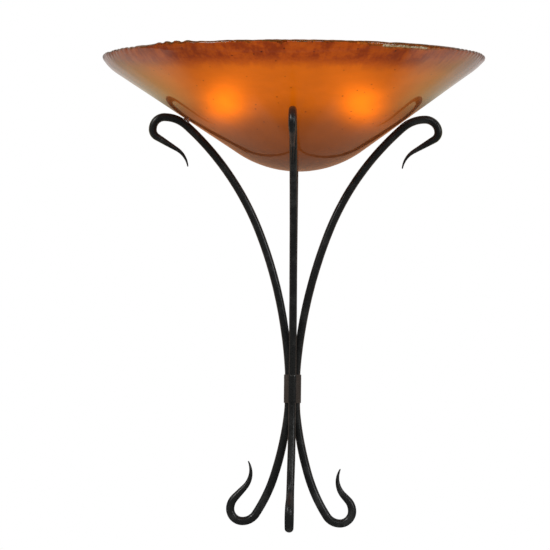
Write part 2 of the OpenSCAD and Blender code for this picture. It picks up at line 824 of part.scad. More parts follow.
module lead(side, way, row, hole, turn_depth) {
    points = curve(lead_route(side, way, row, hole, turn_depth));
    swept(points, [for (p = points) lead_d / 2], 8, [0, 0, 1]);
}

module live_leads() {
    color([0.05, 0.05, 0.05]) {
        lead(-1, -1, -1, live_hole, far_turn_depth);
        lead(1, -1, -1, live_hole, near_turn_depth);
    }
}

module neutral_leads() {
    color([0.92, 0.92, 0.9]) {
        lead(1, 1, 1, neutral_hole, far_turn_depth);
        lead(-1, 1, 1, neutral_hole, near_turn_depth);
    }
}

module wire_nuts() {
    nut_len = 16;
    hole_r = pair_gap + lead_d / 2 + notch_gap;
    skirt_r = 5.4;
    skirt_len = 2;
    waist_r = 4.6;
    waist_z = 5;
    crown_end_r = 2.6;
    color([0.85, 0.45, 0.15]) for (x = [-1, 1])
        translate([x * nut_x, -nut_depth, nut_mouth_z]) rotate_extrude() difference() {
            polygon([[0, 0], [skirt_r, 0], [skirt_r, skirt_len], [waist_r, waist_z],
                     [crown_end_r + 1, nut_len - 1], [crown_end_r, nut_len], [0, nut_len]]);
            translate([0, -1]) square([hole_r, in_nut + 2]);
        }
}

// Half profile of the bowl's glass as [radius, height]: round bottom, straight side, round rim
function bowl_outline() =
    let (lip = glass_t / 2,
         mid = bottom_r - lip,
         rim = [bowl_r - lip, bottom_centre_z
                + (bowl_r - lip - mid * sin(bowl_slope)) * tan(bowl_slope) - mid * cos(bowl_slope)],
         steps = 12)
    concat(
        [for (i = [0 : steps]) let (a = bowl_slope * i / steps)
            [bottom_r * sin(a), bottom_centre_z - bottom_r * cos(a)]],
        [for (i = [0 : steps]) let (a = bowl_slope - quarter + 2 * quarter * i / steps)
            rim + lip * [cos(a), sin(a)]],
        [for (i = [steps : -1 : 0]) let (a = bowl_slope * i / steps)
            [(bottom_r - glass_t) * sin(a), bottom_centre_z - (bottom_r - glass_t) * cos(a)]]);

module glass_bowl() {
    color(amber) difference() {
        translate([0, -bowl_depth, 0]) rotate_extrude($fn = 120) polygon(bowl_outline());
        translate([-bowl_r - 1, -glass_wall_gap, bottom_centre_z - bottom_r - 1])
            cube([2 * bowl_r + 2, bowl_r, 2 * bowl_r]);
    }
}

// Clear saddle on the shoulder of an arm, in the arm's own plane
module pad_on_arm() {
    pad_half = 50;
    reach = 2 * bar_r;
    shoulder_axis = [shoulder_place[0] + shoulder_r * cos(shoulder_start), 0,
                     shoulder_place[1] - shoulder_r * sin(shoulder_start)];
    translate(shoulder_axis) rotate([90, 0, 0]) rotate([0, 0, 180 - contact_heading - pad_turn / 2])
        rotate_extrude(angle = pad_turn) translate([shoulder_r, 0]) intersection() {
            difference() {
                circle(r = bar_r + pad_t);
                circle(r = bar_r + fit_gap);
            }
            polygon([[0, 0], reach * [1, -tan(pad_half)], reach * [1, tan(pad_half)]]);
        }
}

module glass_pads() {
    color(clear) {
        translate([0, -side_depth, collar_z]) pad_on_arm();
        mirror([1, 0, 0]) translate([0, -side_depth, collar_z]) pad_on_arm();
        translate([0, -arm_origin_depth, collar_z]) rotate([0, 0, -90]) pad_on_arm();
    }
}

left_arm();
right_arm();
front_arm();
collar();
spine_bar();
spine_rivets();
mounting_plate();
canopy();
canopy_studs();
cap_nuts();
ground_screw();
nipple();
nipple_nuts();
wire_bushing();
socket_bracket();
left_socket();
right_socket();
socket_screws();
left_screw_shell();
right_screw_shell();
left_contact();
right_contact();
live_leads();
neutral_leads();
wire_nuts();
glass_pads();
glass_bowl();
left_bulb_glass();
left_bulb_cap();
left_bulb_insulator();
left_bulb_tip();
left_bulb_stem();
left_bulb_filament();
right_bulb_glass();
right_bulb_cap();
right_bulb_insulator();
right_bulb_tip();
right_bulb_stem();
right_bulb_filament();
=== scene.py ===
"""Looks of a forged iron wall sconce with a half bowl of amber glass, built round its CAD model."""

import math
from functools import cache

import bmesh
import bpy
from bpy.props import FloatProperty, FloatVectorProperty, IntProperty, PointerProperty
from mathutils import Matrix, Vector, noise


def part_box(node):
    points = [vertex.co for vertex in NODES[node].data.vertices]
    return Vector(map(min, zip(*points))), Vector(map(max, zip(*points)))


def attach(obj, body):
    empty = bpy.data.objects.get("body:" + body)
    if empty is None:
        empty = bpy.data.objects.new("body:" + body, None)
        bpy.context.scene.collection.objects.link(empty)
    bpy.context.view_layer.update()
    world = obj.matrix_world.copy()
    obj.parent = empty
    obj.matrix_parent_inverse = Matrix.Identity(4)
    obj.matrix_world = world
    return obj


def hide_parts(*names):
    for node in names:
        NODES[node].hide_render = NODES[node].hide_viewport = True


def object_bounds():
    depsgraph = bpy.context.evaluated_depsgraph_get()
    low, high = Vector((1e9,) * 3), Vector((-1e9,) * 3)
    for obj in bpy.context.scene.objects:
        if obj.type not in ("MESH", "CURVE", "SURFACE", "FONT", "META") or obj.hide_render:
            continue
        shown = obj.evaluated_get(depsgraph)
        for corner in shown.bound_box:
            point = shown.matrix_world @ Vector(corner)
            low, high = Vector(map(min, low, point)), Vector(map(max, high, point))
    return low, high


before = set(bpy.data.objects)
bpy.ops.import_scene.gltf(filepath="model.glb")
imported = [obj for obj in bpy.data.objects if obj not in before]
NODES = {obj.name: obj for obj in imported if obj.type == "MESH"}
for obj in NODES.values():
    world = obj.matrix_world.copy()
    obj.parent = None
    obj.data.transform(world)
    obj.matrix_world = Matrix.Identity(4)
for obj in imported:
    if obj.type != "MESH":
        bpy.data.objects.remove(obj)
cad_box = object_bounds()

bl_info = {
    "name": "Wall Sconce",
    "version": (1, 0, 0),
    "blender": (4, 5, 0),
    "location": "View3D > Sidebar > Sconce",
    "description": "Forged iron wall sconce with a half bowl of amber glass",
    "category": "Add Mesh",
}

MM = 0.001
WELD, CAD_WELD = 0.001 * MM, 0.004 * MM
AXIS_RADIUS = 0.02
EDGE_ANGLE = 38

# Sockets of the shader's colour mix
MIX_FACTOR, MIX_FIRST, MIX_SECOND, MIX_COLOUR = 0, 6, 7, 2
FLOAT, COLOUR, VECTOR = "NodeSocketFloat", "NodeSocketColor", "NodeSocketVector"
SKIN_OUTPUTS = [("Color", COLOUR), ("Roughness", FLOAT), ("Height", FLOAT)]
BLACK = (0, 0, 0, 1)
HILL_BASE = 2.718

# How far the lamps' painted glow spreads on the glass, in metres
SPOT_WIDTH, SPOT_BELOW, SPOT_ABOVE = 0.024, 0.017, 0.021
HALO_WIDTH, HALO_HEIGHT, HALO_RISE = 0.060, 0.037, 0.010
GLOW_WIDTH, GLOW_DEPTHS = 0.22, (-0.145, -0.05)
GLOW_LOW, GLOW_HIGH = (-0.085, -0.045, 0.13, 0.19), (-0.034, 0.008, 0.0, 0.23)
NECK_REACH, CROWN_REACH = 0.042, 0.085
BULB_IN_GLOSS = 0.4

# Marks in the glass as (round the bowl, up it) in metres, and its bubbles, called seeds
GLASS_TOP = 0.0614
PATCH_SIZE, STREAK_SIZE, VEIN_SIZE = (0.026, 0.022), (0.005, 0.026), (0.05, 0.012)
FLANK_TURNS = (0.45, 1.1)
SEEDS_PER_METRE, CELLS_WITHOUT_SEED = 115.0, 0.70
BAND_DIMS, SEED_DIMS = -0.62, -0.72
BAND_EDGE, BAND_TIPS = (0.74, 1.32), (0.5, 1.1, 1.12, 0.88)


# Sizes and colours that a user would change


def length(name, description, default, low, high):
    """A length in metres whose default and limits are given in millimetres."""
    return FloatProperty(
        name=name, description=description, default=default * MM, min=low * MM, max=high * MM,
        unit="LENGTH", precision=5)


def share(name, description, default):
    return FloatProperty(
        name=name, description=description, default=default, min=0.0, max=1.0, subtype="FACTOR")


def angle(name, description, default, low, high):
    return FloatProperty(
        name=name, description=description, default=math.radians(default),
        min=math.radians(low), max=math.radians(high), subtype="ANGLE")


def amount(name, description, default, high):
    return FloatProperty(name=name, description=description, default=default, min=0.0, max=high)


def colour(name, description, default):
    return FloatVectorProperty(
        name=name, description=description, default=default, size=3, min=0.0, max=1.0,
        subtype="COLOR")


class SconceIron(bpy.types.PropertyGroup):
    """Sizes of the forged work."""

    bar_width: length("Bar width", "Diameter of the round bar of the arms", 9.5, 7, 12)
    bundle_gap: length("Bundle gap", "Gap between the bars in the bundle", 0.2, 0.1, 1)
    bar_swell: length("Bar swell", "How much wider the bars are away from the bundle", 0.5, 0, 1)
    foot_swell: length("Foot swell", "How much wider the bars are at the feet", 0.9, 0, 1.5)
    tip_width: length("Tip width", "Diameter at the tip of a hook or tail", 1.6, 1, 3)
    hammer_depth: length("Hammer marks", "Depth of the hammer marks on the bars", 0.12, 0, 0.5)
    foot_spread: share("Foot spread", "How much wider the front foot is beaten", 0.10)
    arm_sway: length("Arm sway", "How far the side arms sway left below their hooks", 0.9, 0, 2)
    foot_lean: length("Foot lean", "How far the beaten front foot leans aside", 0.9, 0, 3)
    collar_height: length("Collar height", "Height of the wrapped collar", 35, 25, 45)
    collar_strip: length("Collar strip", "Thickness of the collar strip", 1.0, 0.8, 2)
    collar_lap: length("Collar lap", "Step where the strip laps over itself", 0.3, 0, 0.6)
    collar_ragged: length("Ragged ends", "Unevenness of the collar's two ends", 0.5, 0, 1)


class SconceGlass(bpy.types.PropertyGroup):
    """Sizes of the bowl."""

    rim_radius: length("Rim radius", "Radius of the bowl at its rim", 235, 225, 250)
    rim_uneven: length("Uneven rim", "How much further the rim reaches on its left", 5.6, 0, 8)
    rim_front: length("Deeper front", "How much further the rim reaches at the front", 2, 0, 4)
    rim_turn: angle("Rim turn", "How much steeper the glass stands at its rim", 20, 0, 30)
    turn_uneven: angle("Uneven turn", "How much steeper it stands on its left", 7, 0, 15)
    rim_turn_run: length("Rim turn run", "How far below the rim it turns up", 24, 8, 60)
    lean: angle("Lean", "How far the bowl leans to its left in its seat", 1.80, 0, 3)
    lean_shift: length("Lean shift", "How far the leaning bowl moves aside", 4.6, -6, 6)
    lean_lift: length("Lean lift", "How far the leaning bowl rises in its seat", 0.95, 0, 1)
    thickness: length("Thickness", "Thickness of the glass", 6, 4, 8)
    bottom_radius: length("Bottom radius", "Radius of the round bottom", 135, 100, 160)
    slope: angle("Slope", "Slope of the bowl's side above the horizontal", 34.7, 34, 37)
    bottom_drop: length("Bottom drop", "From the origin down to the bottom", 81.2, 77, 85)
    axis_depth: length("Axis depth", "From the wall to the bowl's axis", 17.5, 15, 20)
    wall_gap: length("Wall gap", "From the wall to the cut edge of the glass", 9.5, 9.3, 12)
    crimp_spacing: length("Crimp spacing", "Distance between the crimps of the rim", 11.4, 6, 20)
    crimp_depth: length("Crimp depth", "Depth of the crimps of the rim", 2.1, 0, 3)
    rim_wave: length("Rim wave", "How far the rim dips between its high places", 1.2, 0, 4)
    bead_height: length("Bead height", "Height of the beads on the rim", 2.8, 0, 4)
    rim_thread: length("Rim thread", "Width of the dark thread on the rim's top", 2.2, 0, 4)
    clear_lip: length("Clear lip", "Reach of the clear glass below the rim's top", 2.6, 0, 6)
    band_height: length("Band height", "Height of the red-brown band below the rim", 23, 10, 50)


class SconceLamps(bpy.types.PropertyGroup):
    """Sizes and light of the lamps."""

    depth: length("Lamp depth", "From the wall to the lamps' axis", 52, 50, 58)
    tilt: angle("Lamp tilt", "Upward tilt of the lamps", 5, 0, 8)
    thread_pitch: length("Thread pitch", "Rise of the screw thread in one turn", 3.629, 3, 4)
    thread_depth: length("Thread depth", "Depth of the rolled screw thread", 0.6, 0.2, 0.8)
    flutes: IntProperty(name="Flutes", description="Flutes round a lamp holder", default=28,
                        min=8, max=60)
    bulb_light: amount("Bulb light", "Brightness of the lit bulbs", 7.0, 60)
    # Strength of the lamps' glow painted on the glass as emission
    painted_bowl_glow: amount("Bowl glow", "Brightness of the lit glass", 1.0, 10)


class SconceFinishes(bpy.types.PropertyGroup):
    """Colours of the finishes."""

    iron: colour("Iron", "Satin black of the forged work", (0.0170, 0.0180, 0.0178))
    worn_iron: colour("Worn iron", "Where the black is rubbed thin", (0.044, 0.045, 0.044))
    zinc: colour("Zinc", "Plated steel", (0.60, 0.61, 0.62))
    brass: colour("Brass", "Plain brass", (0.72, 0.52, 0.22))
    phenolic: colour("Phenolic", "Black lamp holders", (0.018, 0.017, 0.016))
    amber: colour("Amber", "Amber glass", (0.20, 0.045, 0.0015))
    rust: colour("Rust", "Red-brown band of the glass", (0.10, 0.017, 0.002))
    # Colours of the lamps' glow painted on the glass as emission, in place of their light through
    # it
    glow: colour("Glow", "Light that comes through the amber glass", (1.0, 0.225, 0.003))
    rust_glow: colour("Rust glow", "Light that comes through the band", (1.0, 0.14, 0.012))
    lit_opal: colour("Lit opal", "The lit bulb as the eye sees it", (1.0, 0.93, 0.72))
    lit_opal_edge: colour("Lit opal edge", "The lit bulb towards its outline", (1.0, 0.72, 0.36))
    bulb: colour("Bulb", "Light of the bulbs", (1.0, 0.66, 0.20))


class SconceStage(bpy.types.PropertyGroup):
    """Floor, lights and surroundings."""

    floor_drop: length("Floor drop", "From the origin down to the floor", 800, 600, 2500)
    floor: colour("Floor", "Pale floor", (0.78, 0.77, 0.75))
    # Colours of the reflector card: painted light and shade that a wall behind the sconce would
    # show in the glass's gloss
    pale_card: colour("Pale card", "What gloss reflects beside the bowl", (0.64, 0.57, 0.55))
    warm_card: colour("Warm card", "What it reflects close beside the bowl",
                      (0.58, 0.51, 0.22))
    lit_card: colour("Lit card", "What it reflects under the bowl, lit through the glass",
                     (0.46, 0.20, 0.09))
    low_card: colour("Low card", "What it reflects lower down", (0.40, 0.29, 0.23))
    ambient: colour("Ambient", "Soft light from all round", (0.30, 0.30, 0.30))
    room: colour("Room", "What it reflects in front", (0.05, 0.048, 0.046))
    behind: colour("Behind", "What it reflects behind", (0.55, 0.56, 0.58))


# Small helpers for meshes


def mesh_of(name, built):
    mesh = bpy.data.meshes.new(name)
    built.to_mesh(mesh)
    built.free()
    return mesh


def show(made):
    bpy.context.scene.collection.objects.link(made)
    return made


def piece(name, built, body, slot, stands_for, sharp=40, more=()):
    """Turns a bmesh into a smooth object that rides on a body and stands for a CAD node."""
    bmesh.ops.recalc_face_normals(built, faces=built.faces)
    mesh = mesh_of(name, built)
    for face in mesh.polygons:
        face.use_smooth = True
    mesh.set_sharp_from_angle(angle=math.radians(sharp))
    for material in (finish(slot), *more):
        mesh.materials.append(material)
    made = show(bpy.data.objects.new(name, mesh))
    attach(made, body)
    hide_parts(stands_for)


def ring_of(built, points):
    return [built.verts.new(p) for p in points]


def bridge(built, rings):
    """Joins neighbouring closed rings with quads."""
    for lower, upper in zip(rings, rings[1:]):
        for i in range(len(lower)):
            k = (i + 1) % len(lower)
            built.faces.new((lower[i], lower[k], upper[k], upper[i]))


def close_end(built, ring, point):
    """Closes a ring with a fan round a middle point."""
    middle = built.verts.new(point)
    for i in range(len(ring)):
        built.faces.new((ring[i], ring[(i + 1) % len(ring)], middle))


def lathe(built, place, profile, sides, swell=None):
    """Turns a profile of (along, radius) in mm about the X axis of place. A swell, worked out from
    along and radius in mm and the turn, changes the radius by a length in metres."""
    rings = []
    for along, radius in profile:
        if radius < AXIS_RADIUS:
            rings.append([built.verts.new(place @ Vector((along * MM, 0, 0)))])
            continue
        points = []
        for i in range(sides):
            turn = 2 * math.pi * i / sides
            r = radius * MM + (swell(along, radius, turn) if swell else 0.0)
            points.append(place @ Vector((along * MM, r * math.cos(turn), r * math.sin(turn))))
        rings.append(ring_of(built, points))
    for a, b in zip(rings, rings[1:]):
        for i in range(sides):
            k = (i + 1) % sides
            corners = [a[i % len(a)], a[k % len(a)], b[k % len(b)], b[i % len(b)]]
            kept = [v for j, v in enumerate(corners) if v not in corners[:j]]
            if len(kept) > 2:
                built.faces.new(kept)
    bmesh.ops.remove_doubles(built, verts=built.verts, dist=WELD)


def rounded(corners, radius, steps=4):
    """Rounds the inner corners of a profile."""
    out = [corners[0]]
    for before, here, after in zip(corners, corners[1:], corners[2:]):
        p, q, s = Vector(before), Vector(here), Vector(after)
        reach = min(radius, 0.45 * (p - q).length, 0.45 * (s - q).length)
        a, b = q + (p - q).normalized() * reach, q + (s - q).normalized() * reach
        for i in range(steps + 1):
            t = i / steps
            out.append(tuple((1 - t) ** 2 * a + 2 * t * (1 - t) * q + t * t * b))
    return out + [corners[-1]]


def even_steps(first, last, count):
    return [first + (last - first) * i / count for i in range(count + 1)]


def between(a, b, t):
    """The flat place at share t of the way from a to b."""
    return a[0] + (b[0] - a[0]) * t, a[1] + (b[1] - a[1]) * t


def dense(outline, spacing):
    """The outline with more points, no further apart than the spacing."""
    out = []
    for a, b in zip(outline, outline[1:]):
        steps = max(1, math.ceil(math.dist(a, b) / spacing))
        out += [between(a, b, i / steps) for i in range(steps)]
    return out + [outline[-1]]


def round_noise(turn, reach, level):
    """Noise that runs round a turn without a seam."""
    return noise.noise(Vector((reach * math.cos(turn), reach * math.sin(turn), level)))


def dress(name, slot, edge=0.0, finer=0):
    """Gives a CAD node its finish, with edges rounded by some mm or a finer mesh where asked."""
    made = NODES[name]
    made.data.materials.clear()
    made.data.materials.append(finish(slot))
    if edge or finer:
        made.modifiers.new("Weld", "WELD").merge_threshold = CAD_WELD
    if edge:
        bevel = made.modifiers.new("Edges", "BEVEL")
        bevel.width = edge * MM
        bevel.segments = 2
        bevel.limit_method = "ANGLE"
        bevel.angle_limit = math.radians(EDGE_ANGLE)
    if finer:
        smooth = made.modifiers.new("Finer", "SUBSURF")
        smooth.levels = finer
        smooth.render_levels = finer


# Small helpers for shading


class Value:
    """A shader's worked-out value, such as a mask or a place, that plain sums can use."""

    def __init__(self, tree, socket):
        self.tree, self.socket = tree, socket

    def __add__(self, other):
        return calc("ADD", self, other)

    def __radd__(self, other):
        return calc("ADD", other, self)

    def __sub__(self, other):
        return calc("SUBTRACT", self, other)

    def __rsub__(self, other):
        return calc("SUBTRACT", other, self)

    def __mul__(self, other):
        return calc("MULTIPLY", self, other)

    def __truediv__(self, other):
        return calc("DIVIDE", self, other)

    def __rtruediv__(self, other):
        return calc("DIVIDE", other, self)

    def __abs__(self):
        return calc("ABSOLUTE", self)


def feed(socket, value):
    """Sets a socket to a plain value, or links it to a worked-out one."""
    if isinstance(value, Value):
        value.tree.links.new(value.socket, socket)
    elif socket.type == "RGBA":
        socket.default_value = (*value[:3], 1.0)
    else:
        socket.default_value = value


def node(tree, kind, inputs=None, **settings):
    """Adds a shader node and feeds its inputs."""
    made = tree.nodes.new(kind)
    for key, value in settings.items():
        setattr(made, key, value)
    for key, value in (inputs or {}).items():
        feed(made.inputs[key], value)
    return made


def result(tree, kind, output, inputs=None, **settings):
    """What a new shader node puts out."""
    return Value(tree, node(tree, kind, inputs, **settings).outputs[output])


def calc(operation, *values, clamp=False):
    tree = next(v.tree for v in values if isinstance(v, Value))
    return result(tree, "ShaderNodeMath", 0, dict(enumerate(values)), operation=operation,
                  use_clamp=clamp)


def vector(operation, first, second=(0.0, 0.0, 0.0)):
    """A sum with places or colours; SCALE takes a number second and LENGTH gives one."""
    key = "Scale" if operation == "SCALE" else 1
    output = "Value" if operation == "LENGTH" else "Vector"
    return result(first.tree, "ShaderNodeVectorMath", output, {0: first, key: second},
                  operation=operation)


def blend_colours(factor, first, second):
    sockets = {MIX_FACTOR: factor, MIX_FIRST: first, MIX_SECOND: second}
    return result(factor.tree, "ShaderNodeMix", MIX_COLOUR, sockets, data_type="RGBA")


def spread(value, low, high, to_low=0.0, to_high=1.0, smooth=True):
    """Maps low..high to to_low..to_high, smoothly or evenly."""
    return result(
        value.tree, "ShaderNodeMapRange", "Result",
        {"Value": value, "From Min": low, "From Max": high, "To Min": to_low, "To Max": to_high},
        interpolation_type="SMOOTHSTEP" if smooth else "LINEAR")


def grain(place, scale, detail=3.0, roughness=0.55):
    return result(place.tree, "ShaderNodeTexNoise", "Fac", {
        "Vector": place, "Scale": scale, "Detail": detail, "Roughness": roughness})


def object_place(tree):
    return result(tree, "ShaderNodeTexCoord", "Object")


def split(place):
    """The X, Y and Z of a place."""
    return [Value(place.tree, socket)
            for socket in node(place.tree, "ShaderNodeSeparateXYZ", {0: place}).outputs]


def relief(shader, height, depth):
    feed(shader.inputs["Normal"], result(
        height.tree, "ShaderNodeBump", 0, {"Height": height, "Distance": depth, "Strength": 1.0}))


def shader_group(name, inputs, outputs, build):
    """Builds a node group once. Inputs are (label, kind, default) and outputs (label, kind)."""
    if name in bpy.data.node_groups:
        return bpy.data.node_groups[name]
    tree = bpy.data.node_groups.new(name, "ShaderNodeTree")
    for label, kind, default in inputs:
        socket = tree.interface.new_socket(name=label, in_out="INPUT", socket_type=kind)
        socket.default_value = default
    for label, kind in outputs:
        tree.interface.new_socket(name=label, in_out="OUTPUT", socket_type=kind)
    source = tree.nodes.new("NodeGroupInput")
    sink = tree.nodes.new("NodeGroupOutput")
    given = {socket.name: Value(tree, socket) for socket in source.outputs}
    for label, value in build(tree, given).items():
        feed(sink.inputs[label], value)
    return tree


def forged_skin():
    """Hammered, waxed black skin: shallow dents, fine scale and rubbed places."""

    def build(tree, given):
        place = object_place(tree)
        per_dent = 1.0 / given["Dent Size"]
        dents = grain(place, per_dent, 1.5, 0.5)
        scale = grain(place, per_dent * 7.0, 4.0, 0.6)
        rubbed = grain(place, per_dent * 0.6, 5.0, 0.7)
        mask = spread(rubbed, 0.48, 0.68) * given["Wear"]
        fine = scale - 0.5
        return {
            "Color": blend_colours(mask, given["Base"], given["Worn"]),
            "Roughness": given["Roughness"] + fine * given["Spread"] + mask * -0.06,
            "Height": dents + fine * given["Scale Relief"],
        }

    return shader_group(
        "Forged skin",
        [("Base", COLOUR, BLACK), ("Worn", COLOUR, BLACK), ("Dent Size", FLOAT, 0.01),
         ("Wear", FLOAT, 0.5), ("Roughness", FLOAT, 0.45), ("Spread", FLOAT, 0.3),
         ("Scale Relief", FLOAT, 0.2)],
        SKIN_OUTPUTS, build)


def fine_skin():
    """Fine grain that may be drawn out along an axis, over large faint clouds."""

    def build(tree, given):
        place = object_place(tree)
        lines = grain(vector("MULTIPLY", place, given["Stretch"]), given["Grain"], 3.0, 0.6)
        clouds = grain(place, given["Grain"] * 0.06, 3.0, 0.6)
        mask = spread(clouds, 0.4, 0.7) * given["Clouding"]
        fine = lines - 0.5
        return {
            "Color": blend_colours(mask, given["Base"], given["Second"]),
            "Roughness": given["Roughness"] + fine * given["Spread"] + mask * 0.08,
            "Height": lines,
        }

    return shader_group(
        "Fine skin",
        [("Base", COLOUR, BLACK), ("Second", COLOUR, BLACK), ("Grain", FLOAT, 2000.0),
         ("Stretch", VECTOR, (1, 1, 1)), ("Clouding", FLOAT, 0.5), ("Roughness", FLOAT, 0.4),
         ("Spread", FLOAT, 0.2)],
        SKIN_OUTPUTS, build)


def painted_lamp_glow():
    """Painted glow of the lamps on the glass: how strongly they would light a place, as two soft
    spots ahead of the bulbs over a broad glow.
    """

    def build(tree, given):
        x, y, z = split(object_place(tree))
        aside, spot_height = abs(x), given["Spot Height"]

        def hill(value, middle, width):
            step = (value - middle) / width
            return calc("POWER", HILL_BASE, step * step * -1.0)

        low = calc("MINIMUM", z, spot_height)
        high = calc("MAXIMUM", z, spot_height)
        spot = hill(aside, given["Spot Aside"], SPOT_WIDTH) * (
            hill(low, spot_height, SPOT_BELOW) * hill(high, spot_height, SPOT_ABOVE))
        halo = hill(aside, given["Spot Aside"], HALO_WIDTH) * hill(
            z, spot_height + HALO_RISE, HALO_HEIGHT)
        ahead = hill(aside, 0.0, GLOW_WIDTH) * spread(y, *GLOW_DEPTHS, 1.0, 0.10, smooth=False)
        broad = ahead * (spread(z, *GLOW_LOW) + spread(z, *GLOW_HIGH))
        return {"Light": broad + halo * given["Halo"] + spot * given["Spot"]}

    return shader_group(
        "Lamp light",
        [("Spot Aside", FLOAT, 0.083), ("Spot Height", FLOAT, -0.008), ("Halo", FLOAT, 0.075),
         ("Spot", FLOAT, 0.72)],
        [("Light", FLOAT)], build)


def empty_tree(owner):
    owner.use_nodes = True
    owner.node_tree.nodes.clear()
    return owner.node_tree


def new_material(name, plain):
    """A Principled material with its plain values set on the shader's own sockets."""
    made = bpy.data.materials.new(name)
    tree = empty_tree(made)
    shader = node(tree, "ShaderNodeBsdfPrincipled", plain)
    node(tree, "ShaderNodeOutputMaterial", {"Surface": Value(tree, shader.outputs[0])})
    return made, tree, shader


# Finishes

# Skins of the forged pieces by slot: name, dent size in metres, wear, roughness and its spread,
# relief of the scale, plain values of the shader, depth of the relief in mm
FORGED = {
    "iron": ("forged iron", 0.014, 0.8, 0.29, 0.3, 0.25, {"IOR": 1.45}, 0.15),
    "iron_sheet": ("black sheet", 0.03, 0.4, 0.40, 0.25, 0.35, {"Specular IOR Level": 0.45}, 0.08),
}
EVEN = (1.0, 1.0, 1.0)
METAL = {"Metallic": 1.0}
# Fine skins by slot: name, base colour or its setting, second colour, grain per metre, how the
# grain is drawn out, clouding, roughness and its spread, plain values, depth of the relief in mm
FINE = {
    "zinc_steel": ("zinc steel", "zinc", (0.50, 0.49, 0.46), 900, (0.15, 1.0, 1.0), 0.7,
                   0.34, 0.3, METAL, 0.02),
    "green_steel": ("green steel", (0.035, 0.20, 0.06), (0.05, 0.25, 0.09), 1500, EVEN, 0.6,
                    0.36, 0.2, {"Metallic": 0.6}, 0.015),
    "brass": ("plain brass", "brass", (0.52, 0.34, 0.13), 1200, (1.0, 0.2, 1.0), 0.8,
              0.28, 0.25, METAL, 0.015),
    "white_plastic": ("white plastic", (0.80, 0.80, 0.77), (0.72, 0.71, 0.66), 2600, EVEN, 0.5,
                      0.48, 0.2, {}, 0.02),
    "black_phenolic": ("black phenolic", "phenolic", (0.030, 0.027, 0.024), 2200, EVEN, 0.7,
                       0.30, 0.2, {}, 0.015),
    "black_insulation": ("black insulation", (0.017, 0.017, 0.018), (0.03, 0.03, 0.03), 1800,
                         EVEN, 0.5, 0.5, 0.2, {}, 0.02),
    "white_insulation": ("white insulation", (0.78, 0.77, 0.72), (0.66, 0.64, 0.58), 1800, EVEN,
                         0.5, 0.5, 0.2, {}, 0.02),
    "orange_plastic": ("orange plastic", (0.78, 0.20, 0.02), (0.62, 0.13, 0.015), 1500, EVEN, 0.5,
                       0.42, 0.2, {"Subsurface Weight": 0.1, "Subsurface Scale": 0.002}, 0.03),
    "clear_silicone": ("clear silicone", (0.82, 0.83, 0.82), (0.70, 0.70, 0.67), 1200, EVEN, 0.6,
                       0.30, 0.25, {"Transmission Weight": 0.85, "IOR": 1.41}, 0.02),
    "bulb_cap_metal": ("cap aluminium", (0.74, 0.74, 0.75), (0.60, 0.59, 0.57), 1400,
                       (1.0, 0.2, 0.2), 0.7, 0.26, 0.25, METAL, 0.012),
    "dark_glass": ("black glass", (0.012, 0.012, 0.018), (0.03, 0.03, 0.04), 900, EVEN, 0.6,
                   0.12, 0.1, {"IOR": 1.55}, 0.02),
    "solder": ("dull solder", (0.50, 0.50, 0.52), (0.36, 0.36, 0.37), 700, EVEN, 0.8,
               0.42, 0.3, METAL, 0.08),
    "clear_glass": ("stem glass", (0.90, 0.93, 0.92), (0.84, 0.88, 0.87), 500, EVEN, 0.4,
                    0.05, 0.05, {"Transmission Weight": 0.95, "IOR": 1.5}, 0.02),
    "tungsten": ("tungsten", (0.34, 0.33, 0.31), (0.22, 0.21, 0.20), 3000, EVEN, 0.6,
                 0.35, 0.2, METAL, 0.01),
}


@cache
def finish(slot):
    """The material of a slot, made once: a lit glass, or a forged or fine skin."""
    colours = bpy.context.scene.sconce_finishes
    if slot in GLASSES:
        return GLASSES[slot](colours)
    if slot in FORGED:
        name, dent, wear, rough, vary, scale, plain, depth = FORGED[slot]
        group = forged_skin()
        values = {"Base": colours.iron, "Worn": colours.worn_iron, "Dent Size": dent,
                  "Wear": wear, "Scale Relief": scale}
    else:
        name, base, second, per_metre, drawn, clouding, rough, vary, plain, depth = FINE[slot]
        group = fine_skin()
        values = {"Base": getattr(colours, base) if isinstance(base, str) else base,
                  "Second": second, "Grain": per_metre, "Stretch": drawn, "Clouding": clouding}
    made, tree, shader = new_material(name, plain)
    skin = node(tree, "ShaderNodeGroup", {**values, "Roughness": rough, "Spread": vary},
                node_tree=group)
    feed(shader.inputs["Base Color"], Value(tree, skin.outputs["Color"]))
    feed(shader.inputs["Roughness"], Value(tree, skin.outputs["Roughness"]))
    relief(shader, Value(tree, skin.outputs["Height"]), depth * MM)
    return made


def opal_bulb(colours):
    """Bulb glass coated white inside, lit: brightest round the crown, dimmer to the neck."""
    strength = bpy.context.scene.sconce_lamps.bulb_light
    made, tree, shader = new_material(
        "opal bulb",
        {"Roughness": 0.2, "Coat Weight": 0.5, "Coat Roughness": 0.05,
         "Emission Strength": strength})
    place = object_place(tree)
    crown = spread(abs(split(place)[0]), NECK_REACH, CROWN_REACH, 0.45, 1.0)
    mottled = spread(grain(place, 300.0), 0.3, 0.7, 0.94, 1.0)
    path = node(tree, "ShaderNodeLightPath").outputs
    facing = result(tree, "ShaderNodeLayerWeight", "Facing", {"Blend": 0.3})
    # The eye and gloss see the lamp far dimmer than it is, as a photograph's exposure shows it
    looked_at = blend_colours(facing, [v / strength for v in colours.lit_opal],
                              [v / strength for v in colours.lit_opal_edge])
    glossed = [BULB_IN_GLOSS * v for v in colours.bulb]
    tint = blend_colours(Value(tree, path["Is Glossy Ray"]), colours.bulb, glossed)
    tint = blend_colours(Value(tree, path["Is Camera Ray"]), tint, looked_at)
    feed(shader.inputs["Emission Color"], vector("SCALE", tint, crown * mottled))
    feed(shader.inputs["Base Color"],
         blend_colours(mottled, (0.75, 0.70, 0.62), (0.88, 0.85, 0.79)))
    relief(shader, grain(place, 120.0), 0.03 * MM)
    return made


